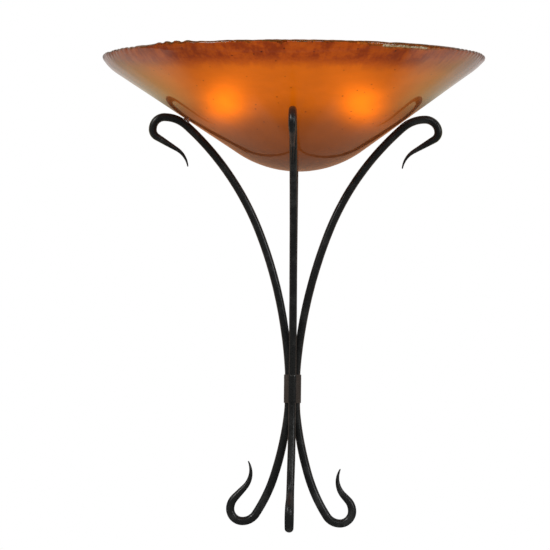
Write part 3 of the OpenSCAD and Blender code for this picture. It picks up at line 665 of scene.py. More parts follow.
def glass_places(tree):
    """Turn round the bowl, distance below the rim, and the two as a flat place."""
    glass = bpy.context.scene.sconce_glass
    place = object_place(tree)
    x, y, z = split(place)
    turn = calc("ARCTAN2", x, (y + glass.axis_depth) * -1.0)
    below = GLASS_TOP - z
    flat = result(tree, "ShaderNodeCombineXYZ", 0,
                  {"X": turn * glass.rim_radius, "Y": below, "Z": 0.0})
    return place, turn, below, flat


def marks(flat, size, detail=3.0, roughness=0.6):
    """Noise whose marks have a size of (round the bowl, up it) in metres."""
    per_metre = (1 / size[0], 1 / size[1], 1.0)
    return grain(vector("MULTIPLY", flat, per_metre), 1.0, detail, roughness)


def amber_glass(colours):
    """Amber glass with a painted glow where the lamps behind it would light it, streaked and
    seeded, with a rust band under the rim.
    """
    scene = bpy.context.scene
    band = scene.sconce_glass.band_height
    made, tree, shader = new_material(
        "amber glass",
        {"Roughness": 0.34, "IOR": 1.45, "Transmission Weight": 0.6, "Coat Weight": 1.0,
         "Coat Roughness": 0.02, "Coat IOR": 1.5, "Specular IOR Level": 0.0,
         "Emission Strength": scene.sconce_lamps.painted_bowl_glow})
    place, turn, below, flat = glass_places(tree)
    aside = abs(turn)
    patches = marks(flat, PATCH_SIZE, 4.0, 0.62)
    streaks = marks(flat, STREAK_SIZE)
    mottle = grain(place, 260.0, 3.0, 0.6)
    edge = below + (patches - 0.5) * 0.026 + (streaks - 0.5) * 0.008
    in_band = spread(edge, *[band * part for part in BAND_EDGE], 1.0, 0.0)
    frit = (patches * 1.1 + (streaks - 0.5) * spread(aside, *FLANK_TURNS, 0.3, 0.9)
            + mottle * 0.3)
    rusty = calc("MULTIPLY", in_band * spread(frit, 0.54, 0.92, 0.42, 1.0),
                 spread(aside, *BAND_TIPS), clamp=True)
    seeds = node(tree, "ShaderNodeTexVoronoi", {"Vector": place, "Scale": SEEDS_PER_METRE},
                 feature="F1").outputs
    lot = result(tree, "ShaderNodeSeparateColor", 0, {0: Value(tree, seeds["Color"])})
    seed = calc("GREATER_THAN", lot, CELLS_WITHOUT_SEED) * spread(
        Value(tree, seeds["Distance"]), 0.09, 0.17, 1.0, 0.0)
    veins = spread(marks(flat, VEIN_SIZE, 4.0), 0.3, 0.7, 0.93, 1.06)
    # The lamps' light through the glass is painted on as emission, dimmed in the band and at the
    # seeds
    light = result(tree, "ShaderNodeGroup", "Light", node_tree=painted_lamp_glow())
    through = light * veins * (1.0 + rusty * BAND_DIMS + seed * SEED_DIMS)
    tint = blend_colours(rusty, colours.glow, colours.rust_glow)
    feed(shader.inputs["Emission Color"], vector("SCALE", tint, through))
    feed(shader.inputs["Base Color"], blend_colours(rusty, colours.amber, colours.rust))
    relief(shader, patches * 0.5 + seed * 0.25 + streaks * (in_band * 0.25), 0.2 * MM)
    return made


def lip_glass(name, plain, size, limits, first, second, depth):
    """Glass of the lip in two colours, drawn out in marks of a size."""
    made, tree, shader = new_material(name, {"IOR": 1.5, **plain})
    drawn = marks(glass_places(tree)[-1], size)
    feed(shader.inputs["Base Color"], blend_colours(spread(drawn, *limits), first, second))
    relief(shader, drawn, depth)
    return made


def clear_lip():
    """Clear glass of the rim with faint brown threads of the band drawn into it."""
    return lip_glass("clear lip", {"Transmission Weight": 1.0, "Roughness": 0.03},
                     (0.004, 0.003), (0.38, 0.55), (0.62, 0.58, 0.46), (0.20, 0.13, 0.05),
                     0.15 * MM)


def rim_thread():
    """Dark olive thread of glass drawn along the top of the rim."""
    return lip_glass("rim thread", {"Transmission Weight": 0.5, "Roughness": 0.12},
                     (0.014, 0.004), (0.35, 0.65), (0.10, 0.070, 0.022), (0.24, 0.145, 0.030),
                     0.2 * MM)


GLASSES = {"opal_glass": opal_bulb, "amber_glass": amber_glass}


# Forged work. Bends are (radius in mm, turn in degrees) or (0, straight length in mm)

BUNDLE_HALF = 17.5
ARM_BENDS = [
    (0, BUNDLE_HALF), (78, 3.6), (562, 17.9), (340, 26.8), (41, 41.7), (15.4, 90), (10.6, 59),
    (0, 29), (29, -51),
]
FOOT_BENDS = [(150, 6), (387, 11.4), (193, 15.6), (19.5, 57), (15, 90), (20, 43)]
TAIL_TIP_BEND = (28, -70)
THINNING_BENDS = 3
HOOK_TAPER = 1.15
TAIL_TAPER = 1.6
SWELL_RUN = (25, 90)
SWAY_IN, SWAY_OUT = (120, 290), (388, 412)
COLLAR_Z = -347.284 * MM
SIDE_DEPTH = 13.95 * MM
FRONT_ORIGIN_DEPTH = 17.5 * MM
COLLAR_FIT, COLLAR_CHAMFER, BEAT_DEPTH = 0.05 * MM, 0.45 * MM, 0.12 * MM
COLLAR_SIDES, COLLAR_ROWS, LAP_RUN, RAGGED_RUN = 144, 12, 14.0, 4 * MM
BAR_SIDES = 28
BEAT_IN, BEAT_OUT, LEAN_FROM = (-42, -12), (55, 95), 60
DENT_RUN, DENT_SHARE = 24.0, 0.3
MARK_RUN, MARK_SHARE, MARK_REACH = 13.0, 0.9, 1.6
FLATTENING, SOLE_BEND = 0.4, 4
SEED_START, SEED_STEP = 1.7, 5.3
TIP_SHARE, TIP_END = 0.6, 0.9
ARMS = {
    "left_arm": {"side": -1, "drop": -1.5, "tail": 17.5},
    "right_arm": {"side": 1, "drop": 0.0, "tail": 8.0},
    "front_arm": {"side": 0, "drop": 4.0, "tail": 13.0, "swell": 0.3},
}


def bend_length(bend):
    radius, turn = bend
    return turn if radius == 0 else radius * math.radians(abs(turn))


def run_of_bends(start, bends, spacing=4.0, turn_step=5.0):
    """Places along a run as (out, along, heading, length so far), in millimetres and radians."""
    out, along, heading, gone = start, 0.0, 0.0, 0.0
    places = [(out, along, heading, gone)]
    for bend in bends:
        radius, turn = bend
        whole = bend_length(bend)
        steps = math.ceil(max(whole / spacing, 0 if radius == 0 else abs(turn) / turn_step))
        for i in range(1, steps + 1):
            part = i / steps
            if radius == 0:
                here = (out + part * whole * math.sin(heading),
                        along + part * whole * math.cos(heading), heading, gone + part * whole)
            else:
                then = heading + math.radians(turn) * part
                r = math.copysign(radius, turn)
                here = (out + r * (math.cos(heading) - math.cos(then)),
                        along + r * (math.sin(then) - math.sin(heading)), then,
                        gone + part * whole)
            places.append(here)
        out, along, heading, gone = places[-1]
    return places


def eased(value, low, high):
    """0 below low, 1 above high, and smooth between."""
    t = max(0.0, min(1.0, (value - low) / (high - low)))
    return t * t * (3 - 2 * t)


def run_radii(places, bends, power, bar, tip, swell):
    """Radius at each place of a run that swells past the bundle and thins out to its tip."""
    whole = sum(bend_length(b) for b in bends)
    tail = sum(bend_length(b) for b in bends[-THINNING_BENDS:])
    radii = []
    for _, _, _, gone in places:
        full = bar + swell / 2 * eased(gone, *SWELL_RUN)
        radii.append(full + (tip - full) * max(0.0, (gone - whole + tail) / tail) ** power)
    return radii


def bar_ring(iron, side, place, radius, seed, sole):
    """One ring of an arm, hammered all over. The front foot is beaten wide round its sole."""
    out, along, heading, gone = place
    bar = iron.bar_width / 2
    beaten = 0.0
    if side == 0:
        beaten = eased(-gone - sole, *BEAT_IN) * (1 - eased(-gone - sole, *BEAT_OUT))
    lean = iron.foot_lean * eased(-gone, LEAN_FROM, sole + BEAT_IN[1])
    sway = iron.arm_sway * (eased(gone, *SWAY_IN) - eased(gone, *SWAY_OUT))
    # Heading runs from the bar's along direction towards its out direction
    across = (math.cos(heading), -math.sin(heading))
    if gone < 0:
        across = (-across[0], -across[1])
    dent = noise.noise(Vector((gone / DENT_RUN, seed, 0.0)))
    ring = []
    for i in range(BAR_SIDES):
        turn = 2 * math.pi * i / BAR_SIDES
        mark = noise.noise(Vector((gone / MARK_RUN, seed + MARK_REACH * math.cos(turn),
                                   MARK_REACH * math.sin(turn))))
        r = radius - iron.hammer_depth * min(1.0, radius / bar) * (
            DENT_SHARE * (1 - dent) + MARK_SHARE * max(0.0, mark))
        flat = r * (1 - FLATTENING * iron.foot_spread * beaten) * math.cos(turn)
        wide = r * (1 + iron.foot_spread * beaten) * math.sin(turn)
        x = out * MM + flat * across[0] - side * sway
        z = max(cad_box[0].z, COLLAR_Z + along * MM + flat * across[1])
        if side == 0:
            ring.append(Vector((wide - lean, -FRONT_ORIGIN_DEPTH - x, z)))
        else:
            ring.append(Vector((side * x, -SIDE_DEPTH + wide, z)))
    return ring


def forge_bar(built, iron, facts, seed):
    """Sweeps one arm with its hook and foot, and rounds its two tips."""
    bar, tip = iron.bar_width / 2, iron.tip_width / 2
    start = (iron.bar_width + iron.bundle_gap) / 2 / MM
    lower = [(0, BUNDLE_HALF + facts["drop"]), *FOOT_BENDS, (0, facts["tail"]), TAIL_TIP_BEND]
    up, down = run_of_bends(start, ARM_BENDS), run_of_bends(start, lower)
    swell = facts.get("swell", 1.0)
    radii = (run_radii(down, lower, TAIL_TAPER, bar, tip, iron.foot_swell * swell)[:0:-1]
             + run_radii(up, ARM_BENDS, HOOK_TAPER, bar, tip, iron.bar_swell * swell))
    places = [(p[0], -p[1], math.pi - p[2], -p[3]) for p in down[:0:-1]] + up
    sole = sum(bend_length(b) for b in lower[:SOLE_BEND])
    rings = [bar_ring(iron, facts["side"], place, radius, seed, sole)
             for place, radius in zip(places, radii)]
    made = [ring_of(built, r) for r in rings]
    bridge(built, made)
    for end, inner in ((0, 1), (-1, -2)):
        middle = sum(rings[end], Vector()) / BAR_SIDES
        way = (middle - sum(rings[inner], Vector()) / BAR_SIDES).normalized()
        rim = ring_of(built, [middle + (p - middle + way * tip) * TIP_SHARE for p in rings[end]])
        bridge(built, [made[end], rim])
        close_end(built, rim, middle + way * tip * TIP_END)


class SCONCE_OT_forge_arms(bpy.types.Operator):
    """Forge the three arms with their hooks and feet"""

    bl_idname = "sconce.forge_arms"
    bl_label = "Forge Arms"

    def execute(self, context):
        for seed, (name, facts) in enumerate(ARMS.items()):
            built = bmesh.new()
            forge_bar(built, context.scene.sconce_iron, facts, SEED_STEP * seed + SEED_START)
            piece(f"forged_{name}", built, "fixture", "iron", name, sharp=60)
        return {"FINISHED"}


def hull_outline(points):
    """Convex outline of flat points, anticlockwise."""
    ordered = sorted(set(points))

    def half(run):
        kept = []
        for p in run:
            while len(kept) > 1 and (
                    (kept[-1][0] - kept[-2][0]) * (p[1] - kept[-2][1])
                    - (kept[-1][1] - kept[-2][1]) * (p[0] - kept[-2][0])) <= 0:
                kept.pop()
            kept.append(p)
        return kept[:-1]

    return half(ordered) + half(reversed(ordered))


def even_outline(points, count, start):
    """The outline in even steps, beginning at the place nearest to start."""
    first = min(range(len(points)), key=lambda i: math.dist(points[i], start))
    loop = points[first:] + points[:first + 1]
    gone = [0.0]
    for a, b in zip(loop, loop[1:]):
        gone.append(gone[-1] + math.dist(a, b))
    out, k = [], 0
    for i in range(count):
        want = gone[-1] * i / count
        while gone[k + 1] < want:
            k += 1
        t = (want - gone[k]) / (gone[k + 1] - gone[k])
        out.append(between(loop[k], loop[k + 1], t))
    return out


def bundle_outline(iron, margin, count):
    """Outline of the three bars and the spine, grown by a margin, begun at its front."""
    bar = iron.bar_width / 2
    aside = bar + iron.bundle_gap / 2
    front = SIDE_DEPTH + math.sqrt((iron.bar_width + iron.bundle_gap) ** 2 - aside ** 2)
    spine_lo, spine_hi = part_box("spine_bar")
    corners = [(x * (spine_hi.x + margin), y)
               for x in (-1, 1) for y in (spine_lo.y, spine_hi.y + margin)]
    for x, y in ((-aside, -SIDE_DEPTH), (aside, -SIDE_DEPTH), (0.0, -front)):
        corners += [(x + (bar + margin) * math.cos(a * math.pi / 60),
                     y + (bar + margin) * math.sin(a * math.pi / 60)) for a in range(120)]
    return even_outline(hull_outline(corners), count, (0.0, -front - bar - margin))


class SCONCE_OT_wrap_collar(bpy.types.Operator):
    """Wrap the strip collar round the bundle"""

    bl_idname = "sconce.wrap_collar"
    bl_label = "Wrap Collar"

    def execute(self, context):
        iron = context.scene.sconce_iron
        inner = bundle_outline(iron, COLLAR_FIT, COLLAR_SIDES)
        outer = bundle_outline(iron, COLLAR_FIT + iron.collar_strip, COLLAR_SIDES)
        half, chamfer = iron.collar_height / 2, COLLAR_CHAMFER
        top = [(half - 0.5 * chamfer, 0.3 * chamfer), (half, chamfer)]
        rows = [(z, 0.0) for z in even_steps(chamfer - half, half - chamfer, COLLAR_ROWS)]
        heights = [(-z, inset) for z, inset in reversed(top)] + rows + top

        def ragged(i, z):
            uneven = round_noise(2 * math.pi * i / COLLAR_SIDES, 2.4, 3 + z)
            return -z * abs(uneven) * iron.collar_ragged * 1.6

        built = bmesh.new()
        rings = []
        for z, inset in heights:
            end = max(0.0, (abs(z) - half + RAGGED_RUN) / RAGGED_RUN) * (1 if z > 0 else -1)
            points = []
            for i, (a, b) in enumerate(zip(outer, inner)):
                lap = iron.collar_lap * math.exp(-(COLLAR_SIDES - i) / LAP_RUN) if i else 0.0
                beat = max(0.0, noise.noise(Vector((i / 7.0, z / MM / 6.0, 8.0))))
                t = min(0.9, (inset + lap + BEAT_DEPTH * beat) / iron.collar_strip)
                points.append((*between(a, b, t), COLLAR_Z + z + ragged(i, end) * abs(end)))
            rings.append(ring_of(built, points))
        back = [ring_of(built, [(*b, COLLAR_Z + end * half + ragged(i, end))
                                for i, b in enumerate(inner)]) for end in (1, -1)]
        bridge(built, rings + back + [rings[0]])
        piece("wrapped_collar", built, "fixture", "iron", "collar", sharp=35)
        return {"FINISHED"}


class SCONCE_OT_finish_spine(bpy.types.Operator):
    """Finish the spine bar and its rivets"""

    bl_idname = "sconce.finish_spine"
    bl_label = "Finish Spine"

    def execute(self, context):
        dress("spine_bar", "iron", edge=0.6)
        dress("spine_rivets", "iron")
        return {"FINISHED"}


# The bowl. Turns are in radians from its front, to the right

BOWL_SIDES = 512
ARC_STEPS, STRAIGHT_STEPS, TURN_STEPS, LIP_STEPS = 22, 32, 14, 12
CRIMP_REACH, SINK_REACH, BEAD_REACH, SOFT_REACH = 7.5 * MM, 30 * MM, 4 * MM, 50 * MM
BOTTOM_SOFT = 0.17 * MM
BEADS_TURN, BEADS_SPREAD, BEADS_COUNT = -0.64, 0.12, 62
GAP_TURN, GAP_SPREAD = 0.60, 0.26


def bowl_profile(glass, rim_radius, rim_turn):
    """Profile as (radius, height, normal, distance from the lip's top), outside then inside."""
    slope, lip = glass.slope, glass.thickness / 2
    centre = glass.bottom_radius - glass.bottom_drop
    mid = glass.bottom_radius - lip
    half_lip = lip * math.pi / 2
    step = glass.rim_turn_run / TURN_STEPS
    turned = [slope + rim_turn * (i / TURN_STEPS) ** 1.5 for i in range(1, TURN_STEPS + 1)]
    straight = (rim_radius - lip - mid * math.sin(slope)
                - sum(step * math.cos(a) for a in turned)) / math.cos(slope)
    run = []
    for i in range(1, ARC_STEPS + 1):
        a = slope * i / ARC_STEPS
        run.append((mid * math.sin(a), centre - mid * math.cos(a), a,
                    half_lip + glass.rim_turn_run + straight + mid * (slope - a)))
    r, z = run[-1][:2]
    for i in range(1, STRAIGHT_STEPS + 1):
        t = i / STRAIGHT_STEPS
        run.append((r + straight * t * math.cos(slope), z + straight * t * math.sin(slope), slope,
                    half_lip + glass.rim_turn_run + straight * (1 - t)))
    for i, a in enumerate(turned):
        r, z = run[-1][:2]
        run.append((r + step * math.cos(a), z + step * math.sin(a), a,
                    half_lip + step * (TURN_STEPS - 1 - i)))
    outside, inside = [], []
    for r, z, a, far in run:
        n = (math.sin(a), -math.cos(a))
        outside.append((r + lip * n[0], z + lip * n[1], n, far))
        inside.append((r - lip * n[0], z - lip * n[1], (-n[0], -n[1]), far))
    r, z, last, _ = run[-1]
    top = []
    for i in range(1, LIP_STEPS):
        a = last - math.pi / 2 + math.pi * i / LIP_STEPS
        n = (math.cos(a), math.sin(a))
        top.append((r + lip * n[0], z + lip * n[1], n,
                    abs(half_lip - lip * math.pi * i / LIP_STEPS)))
    return outside + top + inside[::-1]


def glass_offset(glass, turn, far, side):
    """How far a place of the glass lies inside the plain bowl, and how far the rim sinks there."""
    crimps = round(2 * math.pi * glass.rim_radius / glass.crimp_spacing)
    wander, uneven = round_noise(turn, 4, 1.0), round_noise(turn, 9, 4.0)
    lean = side * far / glass.crimp_spacing * 1.1
    wave = 0.5 - 0.5 * math.cos(crimps * turn + 3.5 * wander + lean)
    near = math.exp(-(far / CRIMP_REACH) ** 2)
    to_tips = 0.12 + 0.88 * eased(abs(math.sin(turn)), 0.72, 0.96)
    crimp = glass.crimp_depth * near * to_tips * max(0.1, 0.7 + 0.9 * uneven) * wave ** 1.5
    soft = 0.35 * MM * (0.5 + 0.5 * round_noise(turn, 6, far / SOFT_REACH))
    slow, quick = round_noise(turn, 2.6, 9.0), round_noise(turn, 11, 2.0)
    sink = glass.rim_wave * (0.5 - 0.4 * slow - 0.8 * quick) * math.exp(-far / SINK_REACH)
    return crimp + soft * (1 - near), max(0.0, sink) - bead_rise(glass, turn, far)


def turn_from_front(turn):
    """The turn between half a turn left and half a turn right of the front."""
    return (turn + math.pi) % (2 * math.pi) - math.pi


def patch(turn, middle, reach):
    """1 at a patch of the rim and 0 away from it."""
    return math.exp(-((turn_from_front(turn) - middle) / reach) ** 4)


def bead_rise(glass, turn, far):
    """Rise of the row of beads that stands on the rim left of its front."""
    turn = turn_from_front(turn)
    bead = 0.5 + 0.5 * math.sin(BEADS_COUNT * turn + 5 * math.sin(9 * turn))
    row = patch(turn, BEADS_TURN, BEADS_SPREAD)
    return glass.bead_height * row * bead * math.exp(-(far / BEAD_REACH) ** 2)


def clear_height(glass, turn):
    """How far the clear glass of the lip reaches down at a turn."""
    edge, slow = round_noise(turn, 22, 5.0), round_noise(turn, 5, 7.0)
    beads = patch(turn, BEADS_TURN, BEADS_SPREAD)
    gap = patch(turn, GAP_TURN, GAP_SPREAD)
    tips = eased(abs(math.sin(turn)), 0.97, 1.0)
    return glass.clear_lip * (0.9 + (1.4 * edge + 0.9 * slow) * (1 - gap) * (1 - beads)
                              + 0.2 * beads + 2.1 * gap + 0.9 * tips)


def thread_width(glass, turn):
    """How far the dark thread on the rim's top reaches down at a turn."""
    return glass.rim_thread * (1.0 + 0.8 * round_noise(turn, 14, 6.0))


def blow_bowl(glass):
    """The half bowl: turned round its axis, crimped, leant in its seat and cut at the wall."""
    built = bmesh.new()
    shift = Matrix.Translation((glass.lean_shift, 0, glass.lean_lift))
    lean = shift @ Matrix.Rotation(-glass.lean, 4, "Y")
    columns = []
    for i in range(BOWL_SIDES):
        turn = 2 * math.pi * i / BOWL_SIDES
        front = glass.rim_front * max(0.0, math.cos(turn))
        profile = bowl_profile(glass, glass.rim_radius - glass.rim_uneven * math.sin(turn) + front,
                               glass.rim_turn - glass.turn_uneven * math.sin(turn))
        column = []
        for n, (radius, height, normal, far) in enumerate(profile):
            side = 1 if n < len(profile) / 2 else -1
            inward, sink = glass_offset(glass, turn, far, side)
            r, z = radius - normal[0] * inward, height - normal[1] * inward - sink
            place = lean @ Vector((r * math.sin(turn), -glass.axis_depth - r * math.cos(turn), z))
            place.z = min(place.z, cad_box[1].z)
            column.append(built.verts.new(place))
        columns.append(column)
    fars = [row[3] for row in profile]
    for i, column in enumerate(columns):
        beside = columns[(i + 1) % BOWL_SIDES]
        turn = 2 * math.pi * (i + 0.5) / BOWL_SIDES
        clear, thread = clear_height(glass, turn), thread_width(glass, turn)
        for n in range(len(fars) - 1):
            face = built.faces.new((column[n], beside[n], beside[n + 1], column[n + 1]))
            far = (fars[n] + fars[n + 1]) / 2
            face.material_index = 2 if far < thread else 1 if far < clear else 0
    centre = glass.bottom_radius - glass.bottom_drop
    inner = glass.bottom_radius - glass.thickness
    for n, r, inward in ((0, glass.bottom_radius, BOTTOM_SOFT), (-1, inner, -BOTTOM_SOFT)):
        close_end(built, [column[n] for column in columns],
                  lean @ Vector((0.0, -glass.axis_depth, centre - r + inward)))
    cut = bmesh.ops.bisect_plane(
        built, geom=built.verts[:] + built.edges[:] + built.faces[:],
        plane_co=(0.0, -glass.wall_gap, 0.0), plane_no=(0.0, 1.0, 0.0), clear_outer=True)
    rim = [e for e in cut["geom_cut"] if isinstance(e, bmesh.types.BMEdge)]
    bmesh.ops.triangle_fill(built, edges=rim, use_beauty=True)
    return built


class SCONCE_OT_blow_bowl(bpy.types.Operator):
    """Blow the half bowl of amber glass with its crimped rim"""

    bl_idname = "sconce.blow_bowl"
    bl_label = "Blow Bowl"

    def execute(self, context):
        built = blow_bowl(context.scene.sconce_glass)
        piece("amber_bowl", built, "bowl", "amber_glass", "glass_bowl", sharp=50,
              more=(clear_lip(), rim_thread()))
        return {"FINISHED"}


class SCONCE_OT_seat_pads(bpy.types.Operator):
    """Finish the clear bumpers between the arms and the glass"""

    bl_idname = "sconce.seat_pads"
    bl_label = "Seat Pads"

    def execute(self, context):
        dress("glass_pads", "clear_silicone", edge=0.15)
        return {"FINISHED"}


class SCONCE_OT_dress_canopy(bpy.types.Operator):
    """Finish the canopy, its studs and nuts, the wall plate and the ground screw"""

    bl_idname = "sconce.dress_canopy"
    bl_label = "Dress Canopy"

    def execute(self, context):
        dress("canopy", "iron_sheet")
        dress("cap_nuts", "iron_sheet", edge=0.25)
        dress("canopy_studs", "zinc_steel", edge=0.3)
        dress("mounting_plate", "zinc_steel", edge=0.35)
        dress("ground_screw", "green_steel", edge=0.2)
        return {"FINISHED"}


class SCONCE_OT_fit_bracket(bpy.types.Operator):
    """Finish the lamp bracket and the hollow nipple that clamps it"""

    bl_idname = "sconce.fit_bracket"
    bl_label = "Fit Bracket"

    def execute(self, context):
        dress("socket_bracket", "zinc_steel", edge=0.3)
        dress("socket_screws", "zinc_steel", edge=0.25)
        dress("nipple", "brass", edge=0.2)
        dress("nipple_nuts", "zinc_steel", edge=0.25)
        dress("wire_bushing", "white_plastic", edge=0.35)
        return {"FINISHED"}


# Lamps. Distances along a lamp run out from the middle of the sconce, in millimetres

SIDES = {"left": -1, "right": 1}
HOLDER_START, HOLDER_FLOOR, HOLDER_END = 10.6, 19.1, 44.6
HOLDER_R, CAVITY_R, HOLDER_ROUND = 17.5, 13.85, 1.1
FLUTES_FROM, FLUTES_TO, FLUTE_R, FLUTE_FADE = 17.8, 39.1, 16.3, 1.2
SHELL_LEN, SHELL_R, SHELL_T, SHELL_MOUTH_R = 22.0, 13.3, 0.5, 7.0
CAP_START, CAP_END, CAP_R, CAP_T, CAP_MOUTH_R = 27.2, 47.2, 13.0, 0.4, 11.0
BULB_CENTRE, BULB_R, NECK_R, NECK_ARC_R, BULB_WALL = 87.0, 24.0, 12.0, 40.0, 0.8
THREAD_SIDES, BULB_SIDES, THREAD_FADE = 72, 64, 1.5
NUT_LENGTH, NUT_ASIDE, NUT_SIDES, NUT_RIBS = 16.0, 15, 84, 14
NUT_HOLE, NUT_REACH, RIBS_FROM, RIBS_TO, RIB_R = 2.55, 9.0, 2.2, 15.2, 2.9
FLUTE_DEPTH, RIB_DEPTH = 0.45 * MM, 0.38 * MM


def lamp_frame(side):
    """X out along the lamp, Y to the wall, Z up across it."""
    lamps = bpy.context.scene.sconce_lamps
    c, s = math.cos(lamps.tilt), math.sin(lamps.tilt)
    return Matrix(((side * c, 0, -side * s, 0), (0, 1, 0, -lamps.depth), (s, 0, c, 0),
                   (0, 0, 0, 1)))


def fading(along, first, last, in_run, out_run):
    """1 between two places along a lamp, fading to 0 at them."""
    return max(0.0, min(1.0, (along - first) / in_run, (last - along) / out_run))


def groove(count, turn):
    """0 on the ridges and 1 in the grooves of some flutes or ribs."""
    return (0.5 - 0.5 * math.cos(count * turn)) ** 2


def threaded(side, head, walls, radii, tail, thread, plain_within):
    """A thin metal shell whose rolled thread runs the same way on both lamps."""
    lamps = bpy.context.scene.sconce_lamps
    profile = (head + [(a, radii[0]) for a in walls]
               + [(a, radii[1]) for a in reversed(walls)] + tail)

    def swell(along, radius, turn):
        if radius <= plain_within:
            return 0.0
        wave = 0.5 - 0.5 * math.cos(2 * math.pi * along * MM / lamps.thread_pitch - side * turn)
        return -lamps.thread_depth * wave * fading(along, *thread, THREAD_FADE, THREAD_FADE)

    built = bmesh.new()
    lathe(built, lamp_frame(side), profile, THREAD_SIDES, swell)
    return built


class SCONCE_OT_fit_holders(bpy.types.Operator):
    """Fit the two lamp holders with their screw shells and contacts"""

    bl_idname = "sconce.fit_holders"
    bl_label = "Fit Holders"

    def execute(self, context):
        count = context.scene.sconce_lamps.flutes
        outline = rounded(
            [(HOLDER_START, 0.0), (HOLDER_START, HOLDER_R - 0.8), (HOLDER_START + 4, HOLDER_R),
             (HOLDER_START + 6.5, HOLDER_R), (FLUTES_FROM, HOLDER_R - 0.7),
             (FLUTES_TO, HOLDER_R - 0.7), (HOLDER_END - 4.8, HOLDER_R), (HOLDER_END, HOLDER_R),
             (HOLDER_END, CAVITY_R), (HOLDER_FLOOR, CAVITY_R), (HOLDER_FLOOR, 0.0)],
            HOLDER_ROUND)

        def flutes(along, radius, turn):
            if radius < FLUTE_R:
                return 0.0
            inside = fading(along, FLUTES_FROM, FLUTES_TO, FLUTE_FADE, FLUTE_FADE)
            return -FLUTE_DEPTH * inside * groove(count, turn)

        foot, end = HOLDER_FLOOR + 0.02, HOLDER_FLOOR + SHELL_LEN
        for name, side in SIDES.items():
            built = bmesh.new()
            lathe(built, lamp_frame(side), dense(outline, 2.0), 6 * count, flutes)
            piece(f"{name}_holder", built, "fixture", "black_phenolic", f"{name}_socket")
            built = threaded(
                side, [(foot, SHELL_MOUTH_R), (foot, SHELL_R + SHELL_T)],
                even_steps(HOLDER_FLOOR + 0.6, end, 66), (SHELL_R + SHELL_T, SHELL_R),
                [(HOLDER_FLOOR + SHELL_T, SHELL_MOUTH_R), (foot, SHELL_MOUTH_R)],
                (HOLDER_FLOOR + 2.5, end - 1.0), SHELL_R - 1.3)
            piece(f"{name}_thread_shell", built, "fixture", "brass", f"{name}_screw_shell")
            dress(f"{name}_contact", "brass", edge=0.2)
        return {"FINISHED"}


def bulb_outline(margin):
    """Outline of the bulb glass from neck to crown as (along, radius)."""
    turn = math.acos((NECK_R + NECK_ARC_R) / (BULB_R + NECK_ARC_R))
    start = BULB_CENTRE - (BULB_R + NECK_ARC_R) * math.sin(turn)
    arc, ball = NECK_ARC_R - margin, BULB_R + margin
    neck = [(a, NECK_R + margin) for a in even_steps((CAP_START + CAP_END) / 2, start, 4)[:-1]]
    shoulder = [(start + arc * math.sin(a), NECK_R + NECK_ARC_R - arc * math.cos(a))
                for a in even_steps(0.0, turn, 12)]
    crown = [(BULB_CENTRE + ball * math.sin(a), ball * math.cos(a))
             for a in even_steps(-turn, math.pi / 2, 32)[1:]]
    return neck + shoulder + crown


class SCONCE_OT_screw_in_bulbs(bpy.types.Operator):
    """Screw in the two lit bulbs"""

    bl_idname = "sconce.screw_in_bulbs"
    bl_label = "Screw In Bulbs"

    def execute(self, context):
        outer, inner = bulb_outline(0.0), bulb_outline(-BULB_WALL)
        crown = BULB_CENTRE + BULB_R
        for name, side in SIDES.items():
            body = f"{name}_bulb"
            place = lamp_frame(side)
            built = bmesh.new()
            lathe(built, place, outer[:-1] + [(crown, 0.0)], BULB_SIDES)
            lathe(built, place, [(crown - BULB_WALL, 0.0), *inner[-2::-1], outer[0]], BULB_SIDES)
            piece(f"{name}_opal_bulb", built, body, "opal_glass", f"{name}_bulb_glass")
            built = threaded(
                side, [(CAP_START, CAP_MOUTH_R), (CAP_START, CAP_R - 0.7),
                       (CAP_START + 0.3, CAP_R - 0.2)],
                even_steps(CAP_START + 1.0, CAP_END, 60), (CAP_R, CAP_R - CAP_T),
                [(CAP_START + CAP_T, CAP_R - 0.9), (CAP_START + CAP_T, CAP_MOUTH_R),
                 (CAP_START, CAP_MOUTH_R)],
                (CAP_START + 2.0, CAP_END - 4.0), CAP_R - 0.5)
            piece(f"{name}_threaded_cap", built, body, "bulb_cap_metal", f"{name}_bulb_cap")
            dress(f"{name}_bulb_insulator", "dark_glass")
            dress(f"{name}_bulb_tip", "solder", edge=0.4)
            dress(f"{name}_bulb_stem", "clear_glass")
            dress(f"{name}_bulb_filament", "tungsten")
        return {"FINISHED"}


class SCONCE_OT_pull_leads(bpy.types.Operator):
    """Finish the leads and twist on the ribbed wire nuts"""

    bl_idname = "sconce.pull_leads"
    bl_label = "Pull Leads"

    def execute(self, context):
        dress("live_leads", "black_insulation", finer=1)
        dress("neutral_leads", "white_insulation", finer=1)
        low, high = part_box("wire_nuts")
        outline = rounded(
            [(NUT_REACH, 0.0), (NUT_REACH, NUT_HOLE), (0.0, NUT_HOLE), (0.0, 5.4), (2.0, 5.4),
             (5.0, 4.6), (15.0, 3.6), (NUT_LENGTH, 2.6), (NUT_LENGTH, 0.0)], 0.5)

        def ribs(along, radius, turn):
            if radius < RIB_R or along < RIBS_FROM:
                return 0.0
            return -RIB_DEPTH * fading(along, RIBS_FROM, RIBS_TO, 1.5, 1.0) * groove(NUT_RIBS, turn)

        built = bmesh.new()
        for x in (-NUT_ASIDE * MM, NUT_ASIDE * MM):
            place = Matrix(((0, 1, 0, x), (0, 0, 1, (low.y + high.y) / 2), (1, 0, 0, low.z),
                            (0, 0, 0, 1)))
            lathe(built, place, dense(outline, 1.2), NUT_SIDES, ribs)
        piece("twist_caps", built, "fixture", "orange_plastic", "wire_nuts")
        return {"FINISHED"}


# The stage

CAMERA_PLACE = (0.0935, -4.441, -0.2921)
CAMERA_PITCH, CAMERA_YAW, CAMERA_ROLL = 0.01906, -0.02633, 0.01138
LENS, SENSOR_WIDTH = 235.66, 36.0
CARD_DEPTH, CARD_LOW, CARD_HIGH = 0.004, (-2.5, -4.0), (2.5, 2.5)
